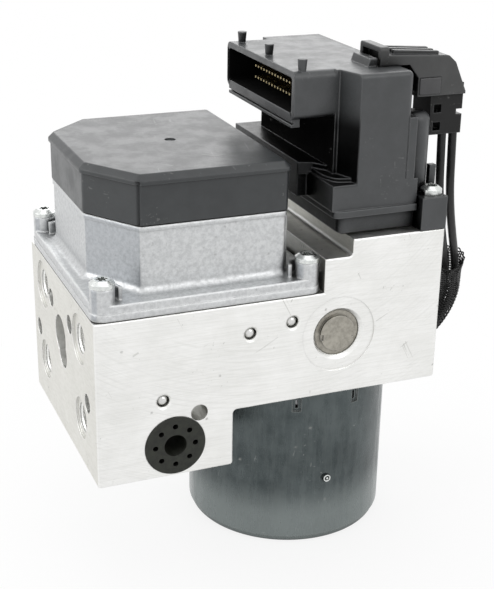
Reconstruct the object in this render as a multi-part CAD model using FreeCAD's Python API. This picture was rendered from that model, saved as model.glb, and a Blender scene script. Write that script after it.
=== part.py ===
import FreeCAD, Part
import math
import os

from FreeCAD import Vector

# Anti-lock brake unit: valve block, pump motor, solenoid housing, control unit and motor plug.
# Places are measured from the valve block's front lower left corner: x right, y back, z up.
# save() moves each piece to the part's frame, whose origin is the middle of the motor's flat bottom.

# Clearances
fit_gap = 0.05            # between pieces that are pushed or pressed together
running_gap = 0.03        # radial gap of a sliding or turning fit
screw_clearance = 0.25    # radial gap of a screw in a plain hole
thread_runout = 2.0       # a screw's hole goes this much deeper

# Valve block
block_depth = 88.4
deck_height = 61.2        # top of the left end, which carries the solenoid housing
step_rise = 21.6
ledge_rise = 12.5
top_rise = 6.2
ledge_length = 10.6
top_length = 36.1         # of the raised right end, which carries the control unit
cap_left = 4.5
cap_right = 73.2
cap_front = 7.0
flange_inset = 0.4        # from the block's sides
flange_past_cap = 9.2     # the housing's flange goes this far past the cap
flange_end_gap = 0.9      # between the flange and the ledge
flange_right = cap_right + flange_past_cap
ledge_x = flange_right + flange_end_gap
top_x = ledge_x + ledge_length
block_length = top_x + top_length
ledge_height = deck_height + ledge_rise
top_height = ledge_height + top_rise
step_fillet = 1.5
toe_radius = 1.0
broken_edge = 0.4

# Holes in the block's left end face: each place is (y, z)
upper_ports = ((block_depth - 16.6, deck_height - 11.9), (20.0, deck_height - 13.1))
lower_ports = ((block_depth - 16.5, 18.2), (20.4, 17.7))
upper_spotface = 18.2
lower_spotface = 15.2
spotface_sink = 0.8
port_bore = 11.0
port_depth = 13.0
seat_base = 9.0           # conical seat for the pipe's flare in the bottom of a port
seat_tip = 3.0
seat_height = 3.0
gallery_bore = 3.0
side_holes = (
    (block_depth - 29.2, deck_height - 12.6),
    (block_depth - 7.6, 28.4),
    (32.9, deck_height - 12.8),
    (11.3, 27.5),
)
side_hole_bore = 7.0
side_hole_depth = 10.0
keyhole_wide = (block_depth / 2 + 2.4, 38.8)
keyhole_wide_bore = 15.0
keyhole_narrow = (block_depth / 2 - 0.3, 32.5)
keyhole_narrow_bore = 11.0
keyhole_depth = 15.0

# Holes in the block's front face: each place is (x, z)
ball_places = ((55.8, deck_height - 11.5), (71.6, deck_height - 9.4), (23.9, 29.3))
ball_diameter = 4.4
ball_sink = 0.6
ball_countersink = 5.8
ball_hole_depth = 14.0
front_hole = (36.9, 22.9)
front_hole_bore = 6.2
front_hole_depth = 12.0

# Mounting bushes, front and back
bush_x = 28.0
bush_z = 11.8
bush_diameter = 22.0
bush_bore = 8.2
bush_small_hole = 2.0
bush_small_circle = 14.6
bush_small_count = 8
bush_proud = 0.3

# Motor
motor_before_top = 4.3     # the motor's axis is this far left of the raised end
motor_x = top_x - motor_before_top
motor_y = block_depth / 2
motor_diameter = 76.8
motor_step_gap = 1.6       # between the motor and the step in the block's underside
step_x = motor_x - motor_diameter / 2 - motor_step_gap
motor_length = 65.7
can_wall = 2.0
can_foot_height = 2.2
can_foot_inset = 0.8
can_foot_fillet = 1.2
crimp_count = 10
crimp_width = 3.2
crimp_height = 5.6
crimp_depth = 0.8
crimp_below_block = 3.8
crimp_slot_width = 1.0
crimp_slot_margin = 1.12
dimple_radius = 2.4
dimple_depth = 0.7
dimple_above_foot = 27.0
shield_thickness = 8.0
shaft_diameter = 8.0
shaft_collar = 12.0
shaft_collar_above = 2.0     # the motor's seat
shaft_collar_width = 3.0
shaft_end_gap = 1.0
lower_bearing_diameter = 16.0
lower_bearing_width = 5.0
upper_bearing_diameter = 22.0
upper_bearing_width = 6.0
bearing_cup_wall = 2.0
bearing_shoulder = 2.0
bearing_ring = 1.5
bearing_groove_depth = 0.5
magnet_thickness = 6.0
magnet_length = 40.0
magnet_arc = 76.0
magnet_count = 4
air_gap = 0.8
core_length = 26.0
slot_count = 12
slot_width = 5.0
core_hub_radius = 14.95
slot_mouth = 2.0
tooth_tip = 1.6
winding_height = 7.0
winding_margin = 0.6          # the wire in a slot ends this far inside the coil ends
commutator_diameter = 20.0
commutator_length = 8.0
commutator_segment_count = 12
commutator_slit = 0.5
commutator_slit_depth = 1.2
commutator_foot = 1.0
brush_width = 6.0
brush_height = 5.0
brush_length = 9.0
brush_guide_wall = 1.5
brush_guide_gap = 1.0        # between the commutator and the guides
brush_guide_extra = 2.0
brush_guide_end = 1.2
brush_plate_thickness = 2.0
brush_plate_inset = 4.0
brush_angles = (45, 225)
brush_running_gap = 0.08
motor_seal_inset = 7.0     # inside the circle of the motor's screws
motor_seal_section = 2.4
seal_squeeze = 0.1
motor_screw_diameter = 6.0
motor_screw_inset = 8.4     # from the can's inner wall
motor_screw_angle = -45.0
motor_screw_head = 10.0
motor_screw_head_height = 6.0
motor_screw_end = 1.0

# Pump
pump_drop = 16.4
pump_z = deck_height - pump_drop
chamber_diameter = 32.0
chamber_top_rise = 11.2
chamber_top = pump_z + chamber_top_rise
eccentric_offset = 1.2
eccentric_diameter = 14.0
eccentric_length = 14.0
needle_bearing_diameter = 22.0
needle_bearing_margin = 2.0
piston_diameter = 8.0
piston_rest_gap = 0.05
pump_spring_room = 6.95     # between the plug and the piston
piston_bore = 4.0
piston_solid_end = 7.8
piston_groove_from_end = 5.0
piston_groove_width = 1.0
piston_groove_depth = 0.6
pump_plug_diameter = 17.0
pump_plug_length = 9.0
pump_plug_face = 13.2
pump_plug_sink = 0.5        # of the face, below the sunk ring
pump_plug_groove_depth = 1.6
pump_chamfer = 1.3          # round the plug's bore
pump_ring_diameter = 28.3
pump_ring_sink = 0.4
stake_width = 2.2
stake_depth = 1.0
pump_spring_wire = 0.9
pump_spring_diameter = 5.6   # of the wire's middle line
pump_spring_turns = 5
spring_pocket = 7.0
spring_pocket_depth = 2.0

# Accumulators, open to the underside
accumulator_x = 28.0
accumulator_rows = (motor_y - 12.2, motor_y + 11.8)
accumulator_bore = 20.0
accumulator_bush_wall = 3.0   # left between an accumulator and a bush
accumulator_depth = 26.0
accumulator_crown_gap = 0.5
accumulator_piston_length = 8.0
accumulator_piston_wall = 2.0
accumulator_piston_crown = 3.0
accumulator_groove_below = 0.4    # the crown
accumulator_groove_width = 1.6
accumulator_groove_depth = 0.57
accumulator_travel = 7.0
accumulator_cover_thickness = 3.0
accumulator_spring_wire = 1.6
accumulator_spring_diameter = 14.0
accumulator_spring_turns = 5
accumulator_cover_sink = 0.3
accumulator_vent = 1.2
accumulator_dish = 12.0
accumulator_dish_depth = 0.9

# Valves and coils
inlet_x = 26.5
outlet_x = 50.5
valve_row_count = 4
valve_depth = 21.0
valve_tip_length = 5.0
valve_tip_bevel = 1.5
dome_height = 24.0
dome_rounding = 2.4
coil_gap = 0.6
inlet_coil_wall = 4.7      # a coil's thickness round its valve
outlet_coil_wall = 4.3
valve_inset = 2.7          # of a valve's bore from the outline of the coil above it
valve_tip_step = 2.4
contact_hole_inset = 3.7
coil_front_gap = 0.5        # between the first coil and the housing's wall
coil_back_gap = 0.9
coil_height = 26.0
coil_flange = 1.6
coil_waist = 1.2
coil_clearance = 0.15
coil_pin = 1.0
coil_pin_inset = 2.0
coil_pin_height = 5.0
contact_plate_thickness = 3.0

# Solenoid housing, die-cast
gasket_thickness = 0.4
flange_top_rise = 5.8
flange_top = deck_height + flange_top_rise
flange_seam_rise = 2.8
flange_seam = deck_height + flange_seam_rise
flange_step = 0.3
housing_screw_inset = 4.2
boss_top_rise = 11.5
boss_top = deck_height + boss_top_rise
collar_inner = 5.6
collar_outer = 6.8
collar_height = 4.6
housing_wall = 3.0
housing_wall_inset = 1.3   # from the cap's outline
housing_rim_rise = 27.4
housing_rim = deck_height + housing_rim_rise
housing_top_rise = 29.0
housing_top = deck_height + housing_top_rise
housing_rim_inset = 0.9
housing_foot_fillet = 2.6
spigot_height = 4.8
spigot_clearance = 0.15
rib_width = 4.0
rib_from_front = 7.0       # behind the housing's front wall
rib_depth = 2.6
rib_below_rim = 2.0
housing_screw_diameter = 5.0
housing_screw_head = 8.6
housing_screw_head_height = 2.6
housing_screw_length = 20.5
head_bevel = 1.6
head_bevel_height = 1.2
torx_width = 4.0
torx_lobe = 1.04
torx_core = 2.48
torx_depth = 1.6

# Cap
front_chamfer_x = 14.0
front_chamfer_y = 21.2
back_chamfer_x = 16.0
back_chamfer_y = 15.8
cap_corner = 3.0
cap_seal_thickness = 0.5
cap_lip_rise = 14.4
cap_lip = housing_top + cap_lip_rise
cap_bevel_foot_rise = 1.3
cap_bevel_foot = cap_lip + cap_bevel_foot_rise
cap_top_rise = 2.0
cap_top = cap_bevel_foot + cap_top_rise
cap_skirt_inset = 0.7
cap_wall = 2.2
cap_roof = 2.5
cap_groove_x = 16.6
cap_groove_width = 2.5
cap_groove_depth = 1.2
gate_mark = (43.0, 47.6)
gate_mark_diameter = 4.0
gate_mark_depth = 0.5

# Control unit
unit_gasket_thickness = 0.8
unit_gasket_inset = 1.6
unit_gasket_width = 3.0
base_left_setback = 3.5
base_left = top_x - base_left_setback
base_right_setback = 10.5
base_right = block_length - base_right_setback
base_front = 5.0
base_top_rise = 7.1
base_top = top_height + base_top_rise
base_corner = 3.0
base_right_inset = 0.8
base_lug_overlap = 0.5
lug_left_reach = 0.7
lug_left = base_right + lug_left_reach
lug_depth = 11.0
lug_height = 12.0
lug_overhang = 0.2         # past the block's right end
lug_screw_from_right = 3.6
lug_screw_from_front = 5.5
lug_post_width = 2.4
lug_post_front = 9.7
lug_post_height = 9.0
unit_screw_diameter = 5.0
unit_screw_head = 7.8
unit_screw_head_height = 3.0
unit_screw_length = 24.0
unit_wall = 2.2
lip_height = 2.4
lip_left_setback = 3.1
lip_left = base_left - lip_left_setback
lip_right_reach = 1.5
lip_right = base_right + lip_right_reach
lip_front = 2.7
body_front = 3.5
body_left_setback = 3.8
body_left = base_left - body_left_setback
body_right = base_right
body_shoulder_rise = 18.7
body_shoulder = top_height + body_shoulder_rise  # top of the lower body at its front left corner
deck_left_setback = 3.8
deck_left = body_left - deck_left_setback
deck_front = 25.0
deck_top_rise = 22.1
deck_top = top_height + deck_top_rise
deck_back_inset = 4.0      # from the block's back
shelf_top_rise = 20.1
shelf_top = top_height + shelf_top_rise
column_left_reach = 1.8
column_left = top_x + column_left_reach
column_right_setback = 14.0
column_right = block_length - column_right_setback
column_foot_right_reach = 2.0
column_foot_right = column_right + column_foot_right_reach
column_corner = 2.4
column_waist_rise = 40.6
column_waist = top_height + column_waist_rise
tower_left_setback = 2.9
tower_left = top_x - tower_left_setback
tower_shoulder_reach = 1.4
tower_shoulder_x = tower_left + tower_shoulder_reach    # the shroud's end face slopes from here to the column
tower_back_inset = 10.4
unit_top_rise = 56.6
unit_top = top_height + unit_top_rise
top_radius = 1.7
pillar_setback = 8.0
pillar_x = block_length - pillar_setback
pillar_y = 13.5
pillar_radius = 5.7
shroud_left_setback = 15.5
shroud_left = tower_left - shroud_left_setback
shroud_front = 13.4
shroud_back_inset = 2.6     # from the tower's back
shroud_bottom_drop = 16.5
shroud_bottom = unit_top - shroud_bottom_drop
shroud_corner = 2.6
shroud_lip = 3.2
shroud_lip_drop = 2.8
shroud_lip_groove = 0.7
shroud_lip_inset = 2.0
peg_diameter = 3.4
peg_foot = 2.72
peg_height = 4.0
peg_from_mouth = 3.8
peg_from_side = 2.6
ramp_left_setback = 12.8
ramp_left = column_right - ramp_left_setback
ramp_crest_reach = 1.0
ramp_crest = ramp_left + ramp_crest_reach
ramp_right_reach = 3.7
ramp_right = ramp_left + ramp_right_reach
ramp_front = 14.4
ramp_width = 13.0
ramp_height = 2.7
header_drop = 6.0
header_z = unit_top - header_drop
header_height = 8.0
header_length = 10.5
header_y = 21.3
header_width = 9.0
header_pin_diameter = 1.6
header_pin_pitch = 4.0
header_pin_reach = 4.0     # the pins stand this far out of their block
header_leg_setback = 5.5
header_leg_x = column_right - header_leg_setback

# Circuit board, relays and connector pins
board_post_diameter = 5.0
board_post_height = 4.0
board_post_inset = 5.0
board_post_shift = 10.6   # the left posts stand clear of the pins' legs
board_thickness = 1.6
board_corner = 1.5
board_clearance = 0.6
relay_height = 25.0
relay_corner = 1.2
relay_rounding = 0.8
relay_gap = 1.0
relay_pin_gap = 0.6         # from the pins' legs
relay_header_gap = 5.5      # from the middle of the plug's header
relay_from_back = 6.0
relay_spacing = 3.0
pin_size = 0.8
pin_rows = (unit_top - 10.3, unit_top - 6.2)
pin_row_count = 14
pin_first_y = 24.0
pin_pitch = 2.54
pin_from_mouth = 4.0
pin_leg_first = 1.2
pin_leg_step = 1.6

# Motor plug
plug_front = 13.5
plug_depth = 15.6
plug_foot_left_setback = 7.6
plug_foot_left = column_right - plug_foot_left_setback
plug_foot_right_reach = 3.1
plug_foot_right = column_right + plug_foot_right_reach
plug_side_reach = 6.9
plug_side = column_right + plug_side_reach
plug_side_top_drop = 4.8
plug_side_top = unit_top - plug_side_top_drop
plug_tip_reach = 26.4
plug_tip_x = column_right + plug_tip_reach
plug_tip_drop = 10.7
plug_tip_z = unit_top - plug_tip_drop
plug_shoulder_setback = 4.8
plug_shoulder_x = plug_tip_x - plug_shoulder_setback
plug_shoulder_drop = 0.1
plug_shoulder_z = unit_top - plug_shoulder_drop
plug_crown_setback = 7.8
plug_crown_x = plug_tip_x - plug_crown_setback
plug_crown_rise = 2.5
plug_crown_z = unit_top + plug_crown_rise
plug_bottom_drop = 11.6
plug_bottom = unit_top - plug_bottom_drop
plug_top_rise = 3.8
plug_top = unit_top + plug_top_rise
plug_crown_radius = 2.0
plug_clearance = 0.3
plug_rib_height = 1.2
plug_rib_width = 1.8
plug_rib_left_setback = 2.4
plug_rib_left = column_right - plug_rib_left_setback
plug_rib_right_reach = 15.6
plug_rib_right = column_right + plug_rib_right_reach
plug_rib_first = 3.2       # behind the plug's front face
plug_rib_pitch = 3.9
latch_left_setback = 8.4
latch_left = column_right - latch_left_setback
latch_right_reach = 3.2
latch_right = latch_left + latch_right_reach
latch_top_rise = 6.5
latch_top = unit_top + latch_top_rise
latch_bar = 1.8
latch_corner = 1.2
latch_foot_wall = 0.6
rib_root = 1.5              # the ribs and the latch start this far inside the plug
plug_rib_count = 3
lock_left_reach = 0.7
lock_left = plug_side + lock_left_reach
lock_right_reach = 8.4
lock_right = lock_left + lock_right_reach
lock_bottom_drop = 10.9
lock_bottom = unit_top - lock_bottom_drop
lock_top_drop = 5.1
lock_top = unit_top - lock_top_drop
lock_proud = 0.2
carrier_left_reach = 13.0
carrier_left = column_right + carrier_left_reach
carrier_right_setback = 0.3
carrier_right = plug_tip_x - carrier_right_setback
carrier_bottom_drop = 26.0
carrier_bottom = unit_top - carrier_bottom_drop
carrier_top_drop = 7.7
carrier_top = unit_top - carrier_top_drop
carrier_front = 14.4
carrier_depth = 12.4
carrier_notch_bottom_drop = 19.1
carrier_notch_bottom = unit_top - carrier_notch_bottom_drop
carrier_notch_top_drop = 17.2
carrier_notch_top = unit_top - carrier_notch_top_drop
carrier_notch_depth = 2.4
carrier_window = 3.0
carrier_window_low_rise = 1.5
carrier_window_low = carrier_bottom + carrier_window_low_rise
carrier_window_high_rise = 8.0
carrier_window_high = carrier_bottom + carrier_window_high_rise

# Motor lead
wire_diameter = 3.2
wire_clearance = 0.4       # around a wire where it enters a piece
wire_side = 2.25           # half the distance between the two wires
sleeve_diameter = 9.6
sleeve_wall = 0.8
grommet_diameter = 10.6
grommet_flange = 13.6
grommet_flange_thickness = 2.2
grommet_below_block = 15.6
grommet_angle = 10.0       # about the motor's axis, from the right towards the back
wire_reach_in = 1.9         # the wires end this far inside the can
last_turn_radius = 49.8    # the lead's last point outside the can
lead_route = (
    (column_right + 22.6, 17.5, unit_top - 24.5),
    (column_right + 23.4, 18.2, unit_top - 36.5),
    (column_right + 24.9, 20.0, unit_top - 48.0),
    (column_right + 28.2, 23.4, unit_top - 59.5),
    (column_right + 33.0, 28.2, unit_top - 71.0),
    (motor_x + 65.3, motor_y - 9.6, step_rise + 32.2),
    (motor_x + 70.7, motor_y - 2.6, step_rise + 20.5),
    (motor_x + 72.7, motor_y + 1.4, step_rise + 11.5),
    (motor_x + 71.1, motor_y + 4.8, step_rise + 2.3),
    (motor_x + 66.0, motor_y + 7.3, step_rise - 6.0),
    (motor_x + 58.3, motor_y + 8.5, step_rise - 12.3),
)
sleeve_skip_count = 5

motor_bottom = step_rise - motor_length
pump_x = motor_x
to_foot = Vector(-motor_x, -motor_y, -motor_bottom)
motor_radius = motor_diameter / 2
can_inner_radius = motor_radius - can_wall
shaft_radius = shaft_diameter / 2
magnet_inner_radius = can_inner_radius - fit_gap - magnet_thickness
core_radius = magnet_inner_radius - air_gap
slot_depth = core_radius - tooth_tip - core_hub_radius
motor_screw_radius = can_inner_radius - motor_screw_inset
motor_seal_radius = motor_screw_radius - motor_seal_inset
can_floor = motor_bottom + can_wall
shield_bottom = step_rise - shield_thickness
commutator_top = shield_bottom - brush_plate_thickness
commutator_bottom = commutator_top - commutator_length
winding_top = commutator_bottom - fit_gap
core_top = winding_top - winding_height
core_bottom = core_top - core_length
needle_radius = needle_bearing_diameter / 2
piston_reach = needle_radius + eccentric_offset + piston_rest_gap
bush_length = accumulator_rows[0] - accumulator_bore / 2 - accumulator_bush_wall
piston_length = motor_y - piston_reach - pump_ring_sink - pump_plug_length - pump_spring_room
housing_inner_inset = housing_wall_inset + housing_wall
coil_room = block_depth - cap_front - 2 * housing_inner_inset - coil_front_gap - coil_back_gap
coil_diameter = (coil_room - (valve_row_count - 1) * coil_gap) / valve_row_count
valve_pitch = coil_diameter + coil_gap
inlet_dome = coil_diameter - 2 * inlet_coil_wall
outlet_dome = coil_diameter - 2 * outlet_coil_wall
valve_bore = coil_diameter - 2 * valve_inset
valve_tip = valve_bore - 2 * valve_tip_step
contact_plate_hole = coil_diameter - 2 * contact_hole_inset
valve_first_y = cap_front + housing_inner_inset + coil_front_gap + coil_diameter / 2
housing_floor = deck_height + gasket_thickness
cap_bottom = housing_top + cap_seal_thickness
base_floor = top_height + unit_gasket_thickness


def box(x0, x1, y0, y1, z0, z1):
    return Part.makeBox(x1 - x0, y1 - y0, z1 - z0, Vector(x0, y0, z0))


def post(diameter, x, y, z0, z1):
    return Part.makeCylinder(diameter / 2, z1 - z0, Vector(x, y, z0))


def rod_x(diameter, x0, x1, y, z):
    return Part.makeCylinder(diameter / 2, x1 - x0, Vector(x0, y, z), Vector(1, 0, 0))


def rod_y(diameter, y0, y1, x, z):
    return Part.makeCylinder(diameter / 2, y1 - y0, Vector(x, y0, z), Vector(0, 1, 0))


def join(pieces):
    whole = pieces[0].multiFuse(pieces[1:]) if len(pieces) > 1 else pieces[0]
    return whole.removeSplitter()


# A closed outline through corners, each (u, v) or (u, v, radius), with tangent arcs at the radii
def outline(corners, to_space):
    places = [to_space(corner[0], corner[1]) for corner in corners]
    radii = [corner[2] if len(corner) > 2 else 0 for corner in corners]
    return Part.Wire(rounded_edges(places, radii, closed=True))


def rounded_edges(places, radii, closed):
    count = len(places)
    turns = []
    for i, place in enumerate(places):
        if radii[i] <= 0:
            turns.append((place, None, place))
            continue
        back = (places[i - 1] - place).normalize()
        ahead = (places[(i + 1) % count] - place).normalize()
        half = back.getAngle(ahead) / 2
        middle = (back + ahead).normalize()
        reach = radii[i] / math.tan(half)
        crown = place + middle * (radii[i] / math.sin(half) - radii[i])
        turns.append((place + back * reach, crown, place + ahead * reach))
    edges = []
    for i in range(count):
        start, crown, end = turns[i]
        if crown is not None:
            edges.append(Part.Arc(start, crown, end).toShape())
        if i + 1 < count or closed:
            following = turns[(i + 1) % count][0]
            if end.distanceToPoint(following) > 1e-6:
                edges.append(Part.LineSegment(end, following).toShape())
    return edges


def plan(corners, z=0.0):
    return Part.Face(outline(corners, lambda u, v: Vector(u, v, z)))


def lift(face, z0, z1):
    return face.translated(Vector(0, 0, z0)).extrude(Vector(0, 0, z1 - z0))


def inset(face, distance):
    return face.makeOffset2D(-distance, 2) if distance else face


def slab(corners, z0, z1):
    return lift(plan(corners), z0, z1)


# A prism along y from an outline in x and z
def rail(corners, y0, y1):
    face = Part.Face(outline(corners, lambda u, v: Vector(u, y0, v)))
    return face.extrude(Vector(0, y1 - y0, 0))


# A body of revolution about the upright axis at (x, y), from (radius, z) corners
def turned(corners, x, y):
    face = Part.Face(outline(corners, lambda u, v: Vector(u, 0, v)))
    return face.revolve(Vector(0, 0, 0), Vector(0, 0, 1), 360).translated(Vector(x, y, 0))


def about_motor(shape, angle):
    turned_shape = shape.copy()
    turned_shape.rotate(Vector(motor_x, motor_y, 0), Vector(0, 0, 1), angle)
    return turned_shape


def to_back(shape):
    return shape.mirror(Vector(0, block_depth / 2, 0), Vector(0, 1, 0))


def on_level(z):
    return lambda m: abs(m.z - z) < 1e-6


# Edges whose middle point passes a test
def edges_where(shape, test):
    chosen = []
    for edge in shape.Edges:
        middle = edge.valueAt((edge.FirstParameter + edge.LastParameter) / 2)
        if test(edge, middle):
            chosen.append(edge)
    return chosen


# A six-lobed socket in the top of a screw head
def torx_socket(x, y, top):
    lobes = [post(torx_core, x, y, top - torx_depth, top + 1)]
    for i in range(3):
        bar = box(x - torx_width / 2, x + torx_width / 2, y - torx_lobe / 2, y + torx_lobe / 2,
                  top - torx_depth, top + 1)
        bar.rotate(Vector(x, y, 0), Vector(0, 0, 1), 60 * i)
        lobes.append(bar)
    return join(lobes)


# A round-headed screw standing on its seat, with a socket in the head
def pan_screw(x, y, seat, diameter, length, head, head_height):
    top = seat + head_height
    crown = turned(((0, seat), (head / 2, seat), (head / 2, top - head_bevel_height),
                    (head / 2 - head_bevel, top), (0, top)), x, y)
    whole = join([crown, post(diameter, x, y, seat - length, seat + fit_gap)])
    return whole.cut(torx_socket(x, y, top))


def save(shape, name):
    shape.translated(to_foot).exportStep("parts/" + name + ".step")
    print(name, len(shape.Solids), round(shape.Volume), shape.isValid())


def screw_places():
    left = flange_inset + housing_screw_inset
    right = flange_right - housing_screw_inset
    front = flange_inset + housing_screw_inset
    back = block_depth - front
    return [(left, front), (right, front), (left, back), (right, back)]


def lug_screw_places():
    x = block_length - lug_screw_from_right
    return [(x, lug_screw_from_front), (x, block_depth - lug_screw_from_front)]


def motor_screw_places():
    angle = math.radians(motor_screw_angle)
    x = motor_screw_radius * math.cos(angle)
    y = motor_screw_radius * math.sin(angle)
    return [(motor_x + side * x, motor_y + side * y) for side in (-1, 1)]


def valve_places(x):
    return [(x, valve_first_y + i * valve_pitch) for i in range(valve_row_count)]


def cap_plan():
    return plan((
        (cap_left, cap_front + front_chamfer_y, cap_corner),
        (cap_left + front_chamfer_x, cap_front, cap_corner),
        (cap_right, cap_front, cap_corner),
        (cap_right, block_depth, cap_corner),
        (cap_left + back_chamfer_x, block_depth, cap_corner),
        (cap_left, block_depth - back_chamfer_y, cap_corner),
    ))


def housing_inner_plan():
    return inset(cap_plan(), housing_inner_inset)


def flange_plan():
    r = housing_screw_inset
    back = block_depth - flange_inset
    right = flange_right
    return plan(((flange_inset, flange_inset, r), (right, flange_inset, r), (right, back, r),
                 (flange_inset, back, r)))


# Valve block
def port(y, z, spotface):
    bottom = Vector(port_depth, y, z)
    seat = Part.makeCone(seat_base / 2, seat_tip / 2, seat_height, bottom, Vector(1, 0, 0))
    return [rod_x(port_bore, -1, port_depth, y, z), seat, rod_x(spotface, -1, spotface_sink, y, z)]


def ball_hole(x, z):
    hole = rod_y(ball_diameter + 2 * fit_gap, -1, ball_hole_depth, x, z)
    sink = (ball_countersink - ball_diameter) / 2
    rim = Part.makeCone(ball_countersink / 2, ball_diameter / 2, sink, Vector(x, 0, z), Vector(0, 1, 0))
    return [hole, rim]


def bush_seat():
    return rod_y(bush_diameter + 2 * fit_gap, -1, bush_length + fit_gap, bush_x, bush_z)


def pump_bore():
    guide = rod_y(piston_diameter + 2 * running_gap, -1, motor_y, pump_x, pump_z)
    plug = rod_y(pump_plug_diameter + 2 * fit_gap, -1, pump_plug_length + pump_ring_sink + fit_gap,
                 pump_x, pump_z)
    ring = rod_y(pump_ring_diameter, -1, pump_ring_sink, pump_x, pump_z)
    rim = Part.makeCone(pump_plug_diameter / 2 + pump_chamfer, pump_plug_diameter / 2, pump_chamfer,
                        Vector(pump_x, pump_ring_sink, pump_z), Vector(0, 1, 0))
    return [guide, plug, ring, rim]


def valve_block():
    body = rail((
        (0, 0, toe_radius),
        (step_x, 0, toe_radius),
        (step_x, step_rise, step_fillet),
        (block_length, step_rise, toe_radius),
        (block_length, top_height),
        (top_x, top_height),
        (top_x, ledge_height, step_fillet),
        (ledge_x, ledge_height),
        (ledge_x, deck_height),
        (0, deck_height),
    ), 0, block_depth)
    rims = edges_where(body, lambda edge, m: m.y < 1e-6 or m.y > block_depth - 1e-6)
    body = body.makeChamfer(broken_edge, rims)
    holes = []
    for y, z in upper_ports:
        holes += port(y, z, upper_spotface)
        holes.append(rod_x(gallery_bore, 0, inlet_x, y, z - port_bore / 4))
    for y, z in lower_ports:
        holes += port(y, z, lower_spotface)
    for y, z in side_holes:
        holes.append(rod_x(side_hole_bore, -1, side_hole_depth, y, z))
    holes.append(rod_x(keyhole_wide_bore, -1, keyhole_depth, *keyhole_wide))
    holes.append(rod_x(keyhole_narrow_bore, -1, keyhole_depth, *keyhole_narrow))
    for x, z in ball_places:
        holes += ball_hole(x, z)
    holes.append(rod_y(front_hole_bore, -1, front_hole_depth, *front_hole))
    holes += [bush_seat(), to_back(bush_seat())]
    for hole in pump_bore():
        holes += [hole, to_back(hole)]
    holes.append(post(chamber_diameter, motor_x, motor_y, step_rise - 1, chamber_top))
    for y in accumulator_rows:
        holes.append(post(accumulator_bore, accumulator_x, y, -1, accumulator_depth))
        # spill gallery from the accumulator's crown up to its valves
        holes.append(post(gallery_bore, accumulator_x, y, accumulator_depth - 1, deck_height - valve_depth))
    valve_floor = deck_height - valve_depth - fit_gap
    for x, y in valve_places(inlet_x) + valve_places(outlet_x):
        holes.append(post(valve_bore + 2 * fit_gap, x, y, valve_floor, deck_height + 1))
    for x, y in screw_places():
        holes.append(post(housing_screw_diameter + 2 * fit_gap, x, y,
                          boss_top - housing_screw_length - thread_runout, ledge_height + 1))
    for x, y in lug_screw_places():
        holes.append(post(unit_screw_diameter + 2 * fit_gap, x, y,
                          top_height + lug_height - unit_screw_length - thread_runout, top_height + 1))
    for x, y in motor_screw_places():
        holes.append(post(motor_screw_diameter + 2 * screw_clearance, x, y, step_rise - 1, deck_height))
        holes.append(post(motor_screw_head + 2 * screw_clearance, x, y,
                          deck_height - motor_screw_head_height, top_height + 1))
    return body.cut(holes)


def ball_plugs():
    y = ball_sink + ball_diameter / 2
    return Part.makeCompound([Part.makeSphere(ball_diameter / 2, Vector(x, y, z)) for x, z in ball_places])


def pump_plug():
    front = pump_ring_sink
    back = front + pump_plug_length
    plug = rod_y(pump_plug_diameter, front, back, pump_x, pump_z)
    face = rod_y(pump_plug_face, front - 1, back, pump_x, pump_z)
    groove = rod_y(pump_plug_diameter + 1, front - 1, front + pump_plug_groove_depth, pump_x, pump_z)
    groove = groove.cut(face)
    sink = rod_y(pump_plug_diameter + 1, front - 1, front + pump_plug_sink, pump_x, pump_z)
    stakes = []
    for side in (-1, 1):
        x = pump_x + side * pump_plug_face / 2
        stakes.append(box(x - stake_width / 2, x + stake_width / 2, front - 1, front + stake_depth,
                          pump_z - stake_width, pump_z))
    spring_seat = rod_y(spring_pocket, back - spring_pocket_depth, back + 1, pump_x, pump_z)
    return plug.cut([groove, sink, spring_seat] + stakes)


def piston_front_y():
    return motor_y - piston_reach - piston_length


def pump_piston():
    end = motor_y - piston_reach
    piston = rod_y(piston_diameter, piston_front_y(), end, pump_x, pump_z)
    bore = rod_y(piston_bore, piston_front_y() - 1, end - piston_solid_end, pump_x, pump_z)
    groove_front = end - piston_groove_from_end
    groove_back = groove_front + piston_groove_width
    groove = rod_y(piston_diameter + 1, groove_front, groove_back, pump_x, pump_z)
    groove = groove.cut(rod_y(piston_diameter - 2 * piston_groove_depth, groove_front - 1, groove_back + 1,
                              pump_x, pump_z))
    return piston.cut([bore, groove])


# A compression spring standing on the origin, with its ends closed flat
def spring(wire, mean_diameter, length, turns):
    helix = Part.makeHelix((length - wire) / turns, length - wire, mean_diameter / 2)
    start = Vector(mean_diameter / 2, 0, 0)
    section = Part.Wire(Part.makeCircle(wire / 2, start, Vector(0, 1, 0)))
    coil = Part.Wire(helix.Edges).makePipeShell([section], True, True)
    return coil.translated(Vector(0, 0, wire / 2))


def pump_spring():
    seat = pump_ring_sink + pump_plug_length - spring_pocket_depth + fit_gap
    length = piston_front_y() - fit_gap - seat
    coil = spring(pump_spring_wire, pump_spring_diameter, length, pump_spring_turns)
    coil.rotate(Vector(0, 0, 0), Vector(1, 0, 0), -90)
    return coil.translated(Vector(pump_x, seat, pump_z))


def bush():
    back = bush_length
    rubber = rod_y(bush_diameter, -bush_proud, back, bush_x, bush_z)
    holes = [rod_y(bush_bore, -1, back + 1, bush_x, bush_z)]
    for i in range(bush_small_count):
        angle = math.radians(90 + 360 * i / bush_small_count)
        holes.append(rod_y(bush_small_hole, -1, back + 1, bush_x + bush_small_circle / 2 * math.cos(angle),
                           bush_z + bush_small_circle / 2 * math.sin(angle)))
    return rubber.cut(holes)


# Accumulators
def accumulator_crown():
    return accumulator_depth - accumulator_crown_gap


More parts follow.
